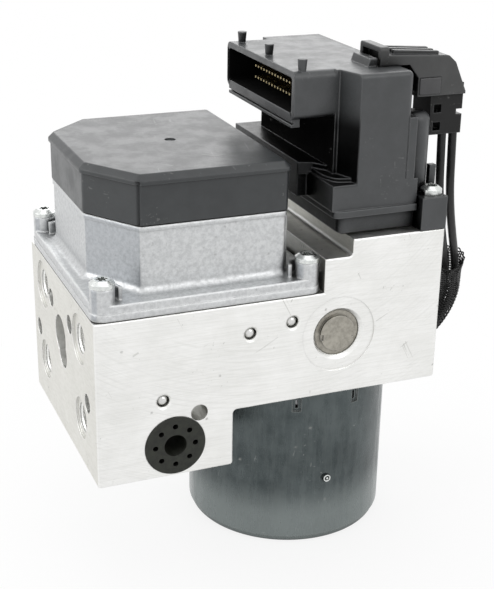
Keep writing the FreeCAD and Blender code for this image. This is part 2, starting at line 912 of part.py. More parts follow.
def accumulator_piston(y):
    top = accumulator_crown()
    radius = accumulator_bore / 2 - running_gap
    skirt = radius - accumulator_piston_wall
    cup = turned(((0, top), (radius, top), (radius, top - accumulator_piston_length),
                  (skirt, top - accumulator_piston_length), (skirt, top - accumulator_piston_crown),
                  (0, top - accumulator_piston_crown)), accumulator_x, y)
    groove_top = top - accumulator_piston_crown - accumulator_groove_below
    groove_bottom = groove_top - accumulator_groove_width
    groove = post(accumulator_bore + 1, accumulator_x, y, groove_bottom, groove_top)
    core_diameter = 2 * (radius - accumulator_groove_depth)
    core = post(core_diameter, accumulator_x, y, groove_bottom - 1, groove_top + 1)
    return cup.cut(groove.cut(core))


def accumulator_spring(y):
    bottom = accumulator_cover_thickness + fit_gap
    length = accumulator_crown() - accumulator_piston_crown - fit_gap - bottom
    coil = spring(accumulator_spring_wire, accumulator_spring_diameter, length, accumulator_spring_turns)
    return coil.translated(Vector(accumulator_x, y, bottom))


def accumulator_cover(y):
    bottom = accumulator_cover_sink
    cover = post(accumulator_bore - 2 * fit_gap, accumulator_x, y, bottom, accumulator_cover_thickness)
    vent = post(accumulator_vent, accumulator_x, y, -1, accumulator_cover_thickness + 1)
    dish = post(accumulator_dish, accumulator_x, y, -1, bottom + accumulator_dish_depth)
    return cover.cut([vent, dish])


# Motor
def motor_can():
    r = motor_radius
    foot = r - can_foot_inset
    inner = can_inner_radius
    cup = lower_bearing_diameter / 2 + fit_gap
    cup_top = can_floor + lower_bearing_width
    can = turned((
        (0, motor_bottom),
        (foot, motor_bottom, can_foot_fillet),
        (foot, motor_bottom + can_foot_height),
        (r, motor_bottom + can_foot_height + can_foot_inset / 2),
        (r, step_rise),
        (inner, step_rise),
        (inner, can_floor, can_foot_fillet),
        (cup + bearing_cup_wall, can_floor),
        (cup + bearing_cup_wall, cup_top),
        (cup, cup_top),
        (cup, can_floor),
        (0, can_floor),
    ), motor_x, motor_y)
    marks = []
    top = step_rise - crimp_below_block
    bottom = top - crimp_height
    for i in range(crimp_count):
        angle = 360 / crimp_count * (i + 0.5)
        pocket = box(motor_x - crimp_width / 2, motor_x + crimp_width / 2, motor_y - r - 1,
                     motor_y - r + crimp_depth, bottom, top)
        slot = box(motor_x - crimp_slot_width / 2, motor_x + crimp_slot_width / 2, motor_y - r - 1,
                   motor_y - r + can_wall + 1, bottom + crimp_slot_margin, top - crimp_slot_margin)
        marks += [about_motor(pocket, angle), about_motor(slot, angle)]
    inlet = rod_x(grommet_diameter + 2 * fit_gap, motor_x + inner - can_wall, motor_x + r + 1, motor_y,
                  grommet_z())
    marks.append(about_motor(inlet, grommet_angle))
    ball = (dimple_radius ** 2 + dimple_depth ** 2) / (2 * dimple_depth)
    marks.append(Part.makeSphere(ball, Vector(motor_x, motor_y - r + dimple_depth - ball,
                                              motor_bottom + dimple_above_foot)))
    return can.cut(marks)


def motor_end_shield():
    plate = post(2 * (can_inner_radius - fit_gap), motor_x, motor_y, shield_bottom, step_rise)
    seal_groove = post(2 * motor_seal_radius + motor_seal_section, motor_x, motor_y,
                       step_rise - motor_seal_section + seal_squeeze, step_rise + 1)
    seal_groove = seal_groove.cut(post(2 * motor_seal_radius - motor_seal_section, motor_x, motor_y,
                                       shield_bottom, step_rise + 2))
    bearing_floor = step_rise - upper_bearing_width - fit_gap
    holes = [
        seal_groove,
        post(upper_bearing_diameter + 2 * fit_gap, motor_x, motor_y, bearing_floor, step_rise + 1),
        post(upper_bearing_diameter - 2 * bearing_shoulder, motor_x, motor_y, shield_bottom - 1, step_rise),
    ]
    for x, y in motor_screw_places():
        holes.append(post(motor_screw_diameter + 2 * fit_gap, x, y, shield_bottom - 1, step_rise + 1))
    return plate.cut(holes)


def motor_magnets():
    outer = can_inner_radius - fit_gap
    middle = (core_top + core_bottom) / 2
    low, high = middle - magnet_length / 2, middle + magnet_length / 2
    ring = post(2 * outer, motor_x, motor_y, low, high)
    ring = ring.cut(post(2 * magnet_inner_radius, motor_x, motor_y, low - 1, high + 1))
    half = math.radians(magnet_arc / 2)
    far = 2 * outer
    wedge = slab(((motor_x, motor_y), (motor_x + far * math.cos(half), motor_y - far * math.sin(half)),
                  (motor_x + far * math.cos(half), motor_y + far * math.sin(half))),
                 low - 1, high + 1)
    magnet = ring.common(wedge)
    pitch = 360 / magnet_count
    return Part.makeCompound([about_motor(magnet, (i + 0.5) * pitch) for i in range(magnet_count)])


def armature_core():
    core = post(2 * core_radius, motor_x, motor_y, core_bottom, core_top)
    cuts = [post(shaft_diameter + 2 * fit_gap, motor_x, motor_y, core_bottom - 1, core_top + 1)]
    slot_end = core_radius - tooth_tip
    for i in range(slot_count):
        slot = box(motor_x + slot_end - slot_depth, motor_x + slot_end, motor_y - slot_width / 2,
                   motor_y + slot_width / 2, core_bottom - 1, core_top + 1)
        mouth = box(motor_x + slot_end - 1, motor_x + core_radius + 1, motor_y - slot_mouth / 2,
                    motor_y + slot_mouth / 2, core_bottom - 1, core_top + 1)
        cuts += [about_motor(slot, 360 / slot_count * i), about_motor(mouth, 360 / slot_count * i)]
    return core.cut(cuts)


def armature_winding():
    slot_end = core_radius - tooth_tip - fit_gap
    inner = core_radius - tooth_tip - slot_depth + fit_gap
    coils = []
    for bottom in (core_bottom - winding_height, core_top):
        low = bottom + (fit_gap if bottom == core_top else 0)
        high = low + winding_height - fit_gap
        ring = post(2 * slot_end, motor_x, motor_y, low, high)
        coils.append(ring.cut(post(2 * inner, motor_x, motor_y, low - 1, high + 1)))
    for i in range(slot_count):
        half = slot_width / 2 - fit_gap
        bar = box(motor_x + inner + winding_margin, motor_x + slot_end - winding_margin, motor_y - half,
                  motor_y + half, core_bottom - 1, core_top + 1)
        coils.append(about_motor(bar, 360 / slot_count * i))
    return join(coils)


def commutator():
    drum = post(commutator_diameter, motor_x, motor_y, commutator_bottom, commutator_top)
    cuts = [post(shaft_diameter + 2 * fit_gap, motor_x, motor_y, commutator_bottom - 1, commutator_top + 1)]
    for i in range(commutator_segment_count):
        slit = box(motor_x + commutator_diameter / 2 - commutator_slit_depth, motor_x + commutator_diameter,
                   motor_y - commutator_slit / 2, motor_y + commutator_slit / 2,
                   commutator_bottom + commutator_foot, commutator_top + 1)
        cuts.append(about_motor(slit, 360 / commutator_segment_count * (i + 0.5)))
    return drum.cut(cuts)


def motor_shaft():
    eccentric_bottom = pump_z - eccentric_length / 2
    shaft = post(shaft_diameter, motor_x, motor_y, can_floor + shaft_end_gap, eccentric_bottom + 1)
    journal = post(eccentric_diameter, motor_x + eccentric_offset, motor_y, eccentric_bottom,
                   pump_z + eccentric_length / 2)
    collar = post(shaft_collar, motor_x, motor_y, step_rise + shaft_collar_above,
                  step_rise + shaft_collar_above + shaft_collar_width)
    return join([shaft, journal, collar])


def eccentric_bearing():
    width = eccentric_length - needle_bearing_margin
    x = motor_x + eccentric_offset
    ring = post(needle_bearing_diameter, x, motor_y, pump_z - width / 2, pump_z + width / 2)
    bore = post(eccentric_diameter + 2 * fit_gap, x, motor_y, pump_z - width, pump_z + width)
    return ring.cut(bore)


def bearing(diameter, bottom, width):
    ring = post(diameter, motor_x, motor_y, bottom, bottom + width)
    bore = post(shaft_diameter + 2 * running_gap, motor_x, motor_y, bottom - 1, bottom + width + 1)
    top = bottom + width
    groove = post(diameter - 2 * bearing_shoulder, motor_x, motor_y, top - bearing_groove_depth, top + 1)
    groove = groove.cut(post(shaft_diameter + 2 * bearing_ring, motor_x, motor_y, bottom, top + 2))
    return ring.cut([bore, groove])


def brush_guide():
    inner = commutator_diameter / 2 + brush_guide_gap
    outer = inner + brush_length + brush_guide_extra
    half = brush_width / 2 + brush_guide_wall
    top = shield_bottom - brush_plate_thickness
    bottom = top - brush_height - brush_guide_wall - 2 * fit_gap
    block = box(motor_x + inner, motor_x + outer, motor_y - half, motor_y + half, bottom, top + 1)
    slot = brush_width / 2 + fit_gap
    channel = box(motor_x + inner - 1, motor_x + outer - brush_guide_end, motor_y - slot, motor_y + slot,
                  top - brush_height - 2 * fit_gap, top)
    return block, channel


def brush_holder():
    top = shield_bottom - fit_gap
    plate = post(2 * (can_inner_radius - brush_plate_inset), motor_x, motor_y,
                 shield_bottom - brush_plate_thickness, top)
    opening = commutator_diameter + 2 * brush_guide_gap
    plate = plate.cut(post(opening, motor_x, motor_y, commutator_bottom, top + 1))
    guides, channels = [], []
    for angle in brush_angles:
        block, channel = brush_guide()
        guides.append(about_motor(block, angle))
        channels.append(about_motor(channel, angle))
    screws = [post(motor_screw_diameter + 2 * screw_clearance, x, y, commutator_bottom, top + 1)
              for x, y in motor_screw_places()]
    return join([plate] + guides).cut(channels + screws)


def brushes():
    inner = commutator_diameter / 2 + brush_running_gap
    top = shield_bottom - brush_plate_thickness - fit_gap
    brush = box(motor_x + inner, motor_x + inner + brush_length, motor_y - brush_width / 2,
                motor_y + brush_width / 2, top - brush_height, top)
    hollow = commutator_diameter + 2 * brush_running_gap
    brush = brush.cut(post(hollow, motor_x, motor_y, commutator_bottom, shield_bottom))
    return Part.makeCompound([about_motor(brush, angle) for angle in brush_angles])


def motor_screws():
    screws = []
    seat = deck_height - motor_screw_head_height + fit_gap
    for x, y in motor_screw_places():
        head = post(motor_screw_head, x, y, seat, deck_height - fit_gap)
        shank = post(motor_screw_diameter, x, y, shield_bottom + motor_screw_end, seat + 1)
        screws.append(join([head, shank]).cut(torx_socket(x, y, deck_height - fit_gap)))
    return Part.makeCompound(screws)


def motor_seal():
    half = motor_seal_section / 2 - seal_squeeze
    middle = Vector(motor_x, motor_y, step_rise - motor_seal_section / 2)
    return Part.makeTorus(motor_seal_radius, half, middle)


# Valves
def cartridge(x, y, dome):
    bottom = deck_height - valve_depth
    half = valve_bore / 2
    tip = valve_tip / 2
    shoulder = bottom + valve_tip_length
    seat = deck_height - fit_gap
    top = deck_height + dome_height
    return turned((
        (0, bottom),
        (tip, bottom),
        (tip, shoulder),
        (half, shoulder + valve_tip_bevel),
        (half, seat),
        (dome / 2, seat),
        (dome / 2, top, dome_rounding),
        (0, top),
    ), x, y)


def valves(x, dome):
    return Part.makeCompound([cartridge(px, py, dome) for px, py in valve_places(x)])


def valve_coil(x, y, dome):
    bottom = deck_height + fit_gap
    top = bottom + coil_height
    r = coil_diameter / 2
    waist = r - coil_waist
    hole = dome / 2 + coil_clearance
    coil = turned(((hole, bottom), (r, bottom), (r, bottom + coil_flange), (waist, bottom + coil_flange),
                   (waist, top - coil_flange), (r, top - coil_flange), (r, top), (hole, top)), x, y)
    pin_x = r - coil_pin_inset
    pins = [post(coil_pin, x + side * pin_x, y, top - 1, top + coil_pin_height) for side in (-1, 1)]
    return join([coil] + pins)


def valve_coils():
    coils = [valve_coil(x, y, inlet_dome) for x, y in valve_places(inlet_x)]
    coils += [valve_coil(x, y, outlet_dome) for x, y in valve_places(outlet_x)]
    return Part.makeCompound(coils)


def contact_plate():
    bottom = deck_height + coil_height + 2 * fit_gap
    top = bottom + contact_plate_thickness
    plate = lift(inset(housing_inner_plan(), fit_gap), bottom, top)
    holes = []
    for column in (inlet_x, outlet_x):
        for x, y in valve_places(column):
            holes.append(post(contact_plate_hole, x, y, bottom - 1, top + 1))
            for side in (-1, 1):
                pin_x = x + side * (coil_diameter / 2 - coil_pin_inset)
                holes.append(post(coil_pin + 2 * fit_gap, pin_x, y, bottom - 1, top + 1))
    return plate.cut(holes)


# Solenoid housing and cap
def valve_housing():
    wall = inset(cap_plan(), housing_wall_inset)
    # the foot is rounded on a wide plate, which is then cut to the flange's outline
    wide = inset(flange_plan(), -2 * housing_foot_fillet)
    base = join([lift(wide, housing_floor, flange_top), lift(wall, housing_floor, housing_top)])
    wide_edges = inside_of(wide)
    foot = edges_where(base, lambda edge, m: abs(m.z - flange_top) < 1e-6 and wide_edges(m))
    base = base.makeFillet(housing_foot_fillet, foot)
    base = base.common(lift(flange_plan(), housing_floor, housing_top))
    parts = [base, lift(inset(flange_plan(), -flange_step), housing_floor, flange_seam),
             lift(inset(cap_plan(), housing_rim_inset), housing_rim, housing_top)]
    spigot_inset = cap_skirt_inset + cap_wall + spigot_clearance
    spigot = lift(inset(cap_plan(), spigot_inset), housing_top - 1, housing_top + spigot_height)
    parts.append(spigot)
    middle = Vector((cap_left + cap_right) / 2, (cap_front + block_depth) / 2, 0)
    for x, y in screw_places():
        parts.append(post(2 * housing_screw_inset, x, y, housing_floor, boss_top))
        ring = post(2 * collar_outer, x, y, flange_top - 1, flange_top + collar_height)
        ring = ring.cut(post(2 * collar_inner, x, y, flange_top - 2, flange_top + collar_height + 1))
        reach_x = math.copysign(collar_outer, middle.x - x)
        reach_y = math.copysign(collar_outer, middle.y - y)
        quarter = box(min(x, x + reach_x), max(x, x + reach_x), min(y, y + reach_y), max(y, y + reach_y),
                      flange_top - 1, flange_top + collar_height)
        parts.append(ring.common(quarter))
    right = cap_right - housing_wall_inset
    rib_y = cap_front + rib_from_front
    parts.append(box(right - 1, right + rib_depth, rib_y, rib_y + rib_width, flange_top - 1,
                     housing_rim - rib_below_rim))
    whole = join(parts)
    holes = [lift(housing_inner_plan(), housing_floor - 1, housing_top + spigot_height + 1)]
    screw_hole = housing_screw_diameter + 2 * screw_clearance
    for x, y in screw_places():
        holes.append(post(screw_hole, x, y, housing_floor - 1, boss_top + 1))
    return whole.cut(holes)


def inside_of(face):
    bounds = face.BoundBox
    margin = 1e-3
    return lambda m: (bounds.XMin + margin < m.x < bounds.XMax - margin
                      and bounds.YMin + margin < m.y < bounds.YMax - margin)


def housing_gasket():
    sheet = lift(flange_plan(), deck_height, housing_floor)
    holes = [lift(housing_inner_plan(), deck_height - 1, housing_floor + 1)]
    screw_hole = housing_screw_diameter + 2 * screw_clearance
    for x, y in screw_places():
        holes.append(post(screw_hole, x, y, deck_height - 1, housing_floor + 1))
    return sheet.cut(holes)


def housing_screws():
    return Part.makeCompound([pan_screw(x, y, boss_top, housing_screw_diameter, housing_screw_length,
                                        housing_screw_head, housing_screw_head_height)
                              for x, y in screw_places()])


def cap_seal():
    ring = lift(inset(cap_plan(), housing_wall_inset), housing_top, cap_bottom)
    return ring.cut(lift(inset(cap_plan(), cap_skirt_inset + cap_wall), housing_top - 1, cap_bottom + 1))


def cap():
    head = lift(cap_plan(), cap_lip, cap_top)
    ring = edges_where(head, lambda edge, m: abs(m.z - cap_top) < 1e-6)
    head = head.makeChamfer(cap_top - cap_bevel_foot, ring)
    skirt = lift(inset(cap_plan(), cap_skirt_inset), cap_bottom, cap_lip + 1)
    whole = join([head, skirt])
    hollow = lift(inset(cap_plan(), cap_skirt_inset + cap_wall), cap_bottom - 1, cap_top - cap_roof)
    skirt_front = cap_front + cap_skirt_inset
    groove_right = cap_groove_x + cap_groove_width
    groove = box(cap_groove_x, groove_right, cap_front - 1, skirt_front + cap_groove_depth, cap_bottom - 1,
                 cap_lip)
    notch = box(cap_groove_x, groove_right, cap_front - 1, skirt_front + cap_skirt_inset, cap_lip - 0.1,
                cap_bevel_foot)
    gate = post(gate_mark_diameter, *gate_mark, cap_top - gate_mark_depth, cap_top + 1)
    return whole.cut([hollow, groove, notch, gate])


# Control unit
def base_plan():
    back = block_depth - base_front
    right = block_length - base_right_inset
    lug_edge = lug_depth + base_lug_overlap
    return plan((
        (base_left, base_front, base_corner),
        (base_right, base_front),
        (base_right, lug_edge),
        (right, lug_edge),
        (right, block_depth - lug_edge),
        (base_right, block_depth - lug_edge),
        (base_right, back),
        (base_left, back, base_corner),
    ))


def board_post_places():
    margin = unit_wall + board_post_inset
    left = deck_left + margin + board_post_shift
    right = body_right - margin
    front = deck_front + margin
    back = body_back() - margin
    return [(left, front), (right, front), (left, back), (right, back)]


def ecu_base():
    parts = [lift(base_plan(), base_floor, base_top)]
    right = block_length + lug_overhang
    lug_top = top_height + lug_height
    lug = box(lug_left, right, 0, lug_depth + 1, top_height + fit_gap, lug_top)
    post_box = box(right - lug_post_width, right, lug_post_front, lug_depth + 1, lug_top - 1,
                   lug_top + lug_post_height)
    for piece in (lug, post_box):
        parts += [piece, to_back(piece)]
    for x, y in board_post_places():
        parts.append(post(board_post_diameter, x, y, base_top - 1, base_top + board_post_height))
    holes = []
    for x, y in lug_screw_places():
        holes.append(post(unit_screw_diameter + 2 * screw_clearance, x, y, top_height - 1, lug_top + 1))
    return join(parts).cut(holes)


def ecu_gasket():
    outer = inset(base_plan(), unit_gasket_inset)
    inner = inset(base_plan(), unit_gasket_inset + unit_gasket_width)
    ring = lift(outer, top_height, base_floor).cut(lift(inner, top_height - 1, base_floor + 1))
    return ring


def ecu_screws():
    seat = top_height + lug_height
    return Part.makeCompound([pan_screw(x, y, seat, unit_screw_diameter, unit_screw_length, unit_screw_head,
                                        unit_screw_head_height) for x, y in lug_screw_places()])


def body_back():
    return block_depth - deck_back_inset


def tower_back():
    return block_depth - tower_back_inset


def unit_lower_solid():
    low = plan((
        (body_left, body_front),
        (body_right, body_front),
        (body_right, body_back()),
        (deck_left, body_back()),
        (deck_left, deck_front),
        (body_left, deck_front),
    ))
    deck = plan((
        (deck_left, deck_front),
        (body_left + 1, deck_front - 2),
        (column_left - 2, shroud_front, 1.5),
        (column_left + 3, shroud_front + 1),
        (body_right, shroud_front + 1),
        (body_right, body_back()),
        (deck_left, body_back()),
    ))
    shelf = plan((
        (body_left + 0.8, deck_front),
        (body_left + 0.8, shroud_front),
        (body_left + 3.0, shroud_front - 5.5, 3.0),
        (column_left + 2, body_front + 2),
        (column_left + 2, deck_front),
    ))
    return [lift(low, base_top + lip_height, body_shoulder), lift(deck, body_shoulder - 1, deck_top),
            lift(shelf, body_shoulder - 1, shelf_top)]


def unit_lip():
    return slab((
        (lip_left, lip_front, base_corner - 1),
        (lip_right - 1.6, lip_front),
        (lip_right - 1.6, lug_depth + 2),
        (lip_right - 1.6, body_back()),
        (lip_left, body_back()),
    ), base_top + fit_gap, base_top + lip_height + fit_gap)


def unit_tower():
    column = plan((
        (column_left, body_front),
        (column_right, body_front, column_corner),
        (column_right, tower_back()),
        (tower_left, tower_back()),
        (tower_left, shroud_front),
        (tower_shoulder_x, shroud_front),
    ))
    tower = lift(column, body_shoulder - 1, unit_top)
    at_top = on_level(unit_top)
    back = tower_back() - 1e-6
    rim = edges_where(tower, lambda edge, m: at_top(m) and m.x > column_left and m.y < back)
    tower = tower.makeFillet(top_radius, rim)
    foot = box(column_right - 1, column_foot_right, body_front, tower_back(), body_shoulder - 1,
               column_waist)
    return [tower, foot]


def shroud_outline(margin):
    left = shroud_front + margin
    right = shroud_back() - margin
    low = shroud_bottom + margin
    high = unit_top - margin
    r = shroud_corner - margin * 0.6
    face = Part.Face(outline(((left, low, r), (right, low, r), (right, high, r), (left, high, r)),
                             lambda u, v: Vector(shroud_left, u, v)))
    return face


def shroud_back():
    return tower_back() - shroud_back_inset


def peg(y, bottom):
    x = shroud_left + peg_from_mouth
    whole = Part.makeCone(peg_foot / 2, peg_diameter / 2, peg_height, Vector(x, y, bottom))
    stem = Part.makeCylinder(peg_foot / 2, 1, Vector(x, y, bottom - 1))
    return [whole, stem]


def unit_shroud():
    shell = shroud_outline(0).extrude(Vector(tower_left + 1 - shroud_left, 0, 0))
    lip = box(shroud_left, shroud_left + shroud_lip, shroud_front + shroud_lip_inset,
              shroud_back() - shroud_lip_inset, shroud_bottom - shroud_lip_drop, shroud_bottom + 0.5)
    groove_z = shroud_bottom - shroud_lip_drop / 2
    groove = box(shroud_left - 1, shroud_left + 1, shroud_front, shroud_back(),
                 groove_z - shroud_lip_groove / 2, groove_z + shroud_lip_groove / 2)
    parts = [shell, lip.cut(groove)]
    middle = (shroud_front + shroud_back()) / 2
    for y in (shroud_front + peg_from_side, middle, shroud_back() - peg_from_side * 2):
        parts += peg(y, unit_top)
    return parts


def socket_cavity():
    return shroud_outline(unit_wall).translated(Vector(-1, 0, 0)).extrude(
        Vector(tower_left - unit_wall - shroud_left + 1, 0, 0))


def header_block():
    x0 = column_right - 1
    return box(x0, column_right + header_length, header_y - header_width / 2, header_y + header_width / 2,
               header_z - header_height / 2, header_z + header_height / 2)


def unit_hollow():
    low = plan((
        (body_left + unit_wall, deck_front + unit_wall),
        (body_right - unit_wall, deck_front + unit_wall),
        (body_right - unit_wall, body_back() - unit_wall),
        (body_left + unit_wall, body_back() - unit_wall),
    ))
    front = body_front + unit_wall
    right = column_right - unit_wall
    top = unit_top - unit_wall - 1
    column_low = box(body_left + unit_wall, body_right - unit_wall, front, deck_front + unit_wall + 1,
                     base_top - 1, body_shoulder - unit_wall)
    tower = box(tower_left + unit_wall, right, shroud_front + unit_wall, tower_back() - unit_wall,
                base_top - 1, top)
    column = box(column_left + unit_wall, right, front, shroud_front + unit_wall + 1, base_top - 1, top)
    return [lift(low, base_top - 1, deck_top - unit_wall), column_low, tower, column]


def pin_places():
    return [pin_first_y + i * pin_pitch for i in range(pin_row_count)]


def ecu_housing():
    pillar = post(2 * pillar_radius, pillar_x, pillar_y, top_height + lug_height + fit_gap, column_waist)
    pillar_cap = edges_where(pillar, lambda edge, m: abs(m.z - column_waist) < 1e-6)
    pillar = pillar.makeFillet(pillar_radius * 0.6, pillar_cap)
    ramp_top = unit_top + ramp_height
    ramp = rail(((ramp_left, unit_top - 1), (ramp_right, unit_top - 1), (ramp_right, ramp_top),
                 (ramp_crest, ramp_top), (ramp_left, unit_top)), ramp_front, ramp_front + ramp_width)
    parts = unit_lower_solid() + unit_tower() + unit_shroud() + [unit_lip(), pillar, ramp, header_block()]
    whole = join(parts)
    cuts = unit_hollow() + [socket_cavity()]
    half = pin_size / 2 + fit_gap
    for z in pin_rows:
        for y in pin_places():
            cuts.append(box(tower_left - unit_wall - 1, tower_left + unit_wall + 1, y - half, y + half,
                            z - half, z + half))
    for y in header_pin_places():
        cuts.append(rod_x(header_pin_diameter + 2 * fit_gap, column_right - unit_wall - 1,
                          column_right + header_length + 1, y, header_z))
    lug_top = top_height + lug_height
    for x, y in lug_screw_places():
        cuts.append(post(unit_screw_head + 4 * screw_clearance, x, y, lug_top,
                         lug_top + unit_screw_head_height + screw_clearance))
    return whole.cut(cuts)


def header_pin_places():
    return [header_y - header_pin_pitch / 2, header_y + header_pin_pitch / 2]


def board_bottom():
    return base_top + board_post_height + fit_gap


def circuit_board():
    left = body_left + unit_wall + board_clearance
    right = body_right - unit_wall - board_clearance
    front = body_front + unit_wall + board_clearance
    back = body_back() - unit_wall - board_clearance
    r = board_corner
    top = board_bottom() + board_thickness
    corners = ((left, front, r), (right, front, r), (right, back, r), (left, back, r))
    board = slab(corners, board_bottom(), top)
    holes = []
    half = pin_size / 2 + fit_gap
    for row in range(len(pin_rows)):
        for y in pin_places():
            x = pin_leg_x(row)
            holes.append(box(x - half, x + half, y - half, y + half, board_bottom() - 1, top + 1))
    for y in header_pin_places():
        holes.append(post(header_pin_diameter + 2 * fit_gap, header_leg_x, y, board_bottom() - 1, top + 1))
    return board.cut(holes)


def pin_leg_x(row):
    return tower_left + unit_wall + pin_leg_first + row * pin_leg_step


def connector_pins():
    pins = []
    low = board_bottom() - 1
    for row, z in enumerate(pin_rows):
        x = pin_leg_x(row)
        for y in pin_places():
            blade = box(shroud_left + pin_from_mouth, x + pin_size / 2, y - pin_size / 2, y + pin_size / 2,
                        z - pin_size / 2, z + pin_size / 2)
            leg = box(x - pin_size / 2, x + pin_size / 2, y - pin_size / 2, y + pin_size / 2, low, z)
            pins.append(join([blade, leg]))
    return Part.makeCompound(pins)


def relay_size():
    return relay_right() - pin_leg_x(len(pin_rows) - 1) - pin_size / 2 - relay_pin_gap


def relay_length():
    room = tower_back() - unit_wall - relay_from_back - relay_spacing - header_y - relay_header_gap
    return room / 2


def relay(x, y):
    bottom = board_bottom() + board_thickness + fit_gap
    r = relay_corner
    right = x + relay_size()
    back = y + relay_length()
    top = bottom + relay_height
    block = slab(((x, y, r), (right, y, r), (right, back, r), (x, back, r)), bottom, top)
    rim = edges_where(block, lambda edge, m: abs(m.z - top) < 1e-6)
    return block.makeFillet(relay_rounding, rim)


def relay_right():
    return column_right - unit_wall - relay_gap


def pump_relay():
    return relay(relay_right() - relay_size(), header_y + relay_header_gap + relay_length() + relay_spacing)


def valve_relay():
    return relay(relay_right() - relay_size(), header_y + relay_header_gap)


# Motor plug
def plug_back():
    return plug_front + plug_depth


def plug_header_pins():
    pins = []
    end = column_right + header_length + header_pin_reach
    for y in header_pin_places():
        pins.append(join([
            rod_x(header_pin_diameter, header_leg_x, end, y, header_z),
            post(header_pin_diameter, header_leg_x, y, board_bottom() - 1, header_z),
            Part.makeSphere(header_pin_diameter / 2, Vector(header_leg_x, y, header_z)),
        ]))
    return Part.makeCompound(pins)


def plug_housing():
    body = rail((
        (plug_foot_left, unit_top + fit_gap),
        (plug_foot_right, unit_top + fit_gap),
        (plug_side, plug_side_top),
        (plug_side, plug_bottom),
        (plug_tip_x, plug_bottom),
        (plug_tip_x, plug_tip_z),
        (plug_shoulder_x, plug_shoulder_z, plug_crown_radius),
        (plug_crown_x, plug_crown_z, plug_crown_radius),
        (plug_foot_left, plug_top),
    ), plug_front, plug_back())
    parts = [body]
    for i in range(plug_rib_count):
        y = plug_front + plug_rib_first + i * plug_rib_pitch
        parts.append(rail((
            (plug_rib_left, plug_top - rib_root),
            (plug_rib_right, plug_crown_z - rib_root),
            (plug_rib_right, plug_crown_z + plug_rib_height),
            (plug_rib_left, plug_top + plug_rib_height),
        ), y - plug_rib_width / 2, y + plug_rib_width / 2))
    low = plug_top - rib_root
    latch = Part.Face(outline((
        (plug_front, low),
        (plug_back(), low),
        (plug_back(), latch_top, latch_corner),
        (plug_front, latch_top, latch_corner),
    ), lambda u, v: Vector(latch_left, u, v)))
    latch = latch.extrude(Vector(latch_right - latch_left, 0, 0))
    front = plug_front + latch_bar
    back = plug_back() - latch_bar
    window = box(latch_left - 1, latch_right + 1, front, back, low - 1, latch_top - latch_bar)
    foot_window = box(latch_left - 1, latch_right - latch_foot_wall, front, back, unit_top - 1,
                      latch_top - latch_bar)
    post_left = box(latch_left, plug_foot_left + 0.5, plug_front, plug_back(), unit_top + fit_gap, plug_top)
    parts += [latch.cut(window), post_left]
    whole = join(parts)
    gap = plug_clearance
    cuts = [
        foot_window,
        box(plug_foot_right - 1, column_right + header_length + gap, header_y - header_width / 2 - gap,
            header_y + header_width / 2 + gap, header_z - header_height / 2 - gap,
            header_z + header_height / 2 + gap),
        box(carrier_left - fit_gap, carrier_right + fit_gap, carrier_front - fit_gap,
            carrier_front + carrier_depth + fit_gap, plug_bottom - 1, carrier_top + fit_gap),
        box(lock_left - fit_gap, lock_right + fit_gap, plug_front - 1, carrier_front - fit_gap,
            lock_bottom - fit_gap, lock_top + fit_gap),
    ]
    for y in header_pin_places():
        cuts.append(rod_x(header_pin_diameter + 2 * gap, column_right,
                          column_right + header_length + header_pin_reach + gap, y, header_z))
    return whole.cut(cuts)


def plug_carrier():
    body = box(carrier_left, carrier_right, carrier_front, carrier_front + carrier_depth, carrier_bottom,
               carrier_top)
    cuts = [box(carrier_right - carrier_notch_depth, carrier_right + 1, carrier_front - 1,
                carrier_front + carrier_depth + 1, carrier_notch_bottom, carrier_notch_top)]
    for x in wire_tops():
        cuts.append(post(wire_diameter + 2 * wire_clearance, x, lead_route[0][1], carrier_bottom - 1,
                         lead_route[0][2] + wire_clearance))
    window_x = carrier_left + carrier_window
    for z in (carrier_window_low, carrier_window_high):
        cuts.append(box(window_x - carrier_window / 2, window_x + carrier_window / 2, carrier_front - 1,
                        carrier_front + carrier_depth + 1, z, z + carrier_window))
    return body.cut(cuts)


def plug_lock():
    return box(lock_left, lock_right, plug_front - lock_proud, carrier_front - 2 * fit_gap, lock_bottom,
               lock_top)


# Motor lead
def wire_tops():
    return [lead_route[0][0] - wire_side, lead_route[0][0] + wire_side]


# The straight runs and tangent arcs of a lead through its points
def lead_path(points):
    places = [Vector(*point) for point in points]
    radii = [0.0]
    for before, here, after in zip(places, places[1:], places[2:]):
        turn = math.pi - (before - here).getAngle(after - here)
        shorter = min(here.distanceToPoint(before), here.distanceToPoint(after))
        radii.append(0.45 * shorter / math.tan(turn / 2))
    radii.append(0.0)
    print("lead radii", [round(r) for r in radii[1:-1]])
    return Part.Wire(rounded_edges(places, radii, closed=False))


def tube(path, diameter):
    start = path.Edges[0].Vertexes[0].Point
    direction = path.Edges[0].tangentAt(path.Edges[0].FirstParameter)
    section = Part.Wire(Part.makeCircle(diameter / 2, start, direction))
    whole = path.makePipeShell([section], True, False)
    expected = math.pi * diameter ** 2 / 4 * path.Length
    print("tube length", round(path.Length, 1), "volume", round(whole.Volume), "expected", round(expected))
    return whole


def grommet_z():
    return step_rise - grommet_below_block


# A point on the lead's straight way into the can, at a distance from the motor's axis
def inlet_point(radius, side=0.0):
    angle = math.radians(grommet_angle)
    return (motor_x + radius * math.cos(angle) - side * math.sin(angle),
            motor_y + radius * math.sin(angle) + side * math.cos(angle), grommet_z())


def lead_wires():
    wires = []
    for side in (-wire_side, wire_side):
        points = [(x + side, y, z) for x, y, z in lead_route]
        points += [inlet_point(last_turn_radius, side), inlet_point(can_inner_radius - wire_reach_in, side)]
        wires.append(tube(lead_path(points), wire_diameter))
    return Part.makeCompound(wires)


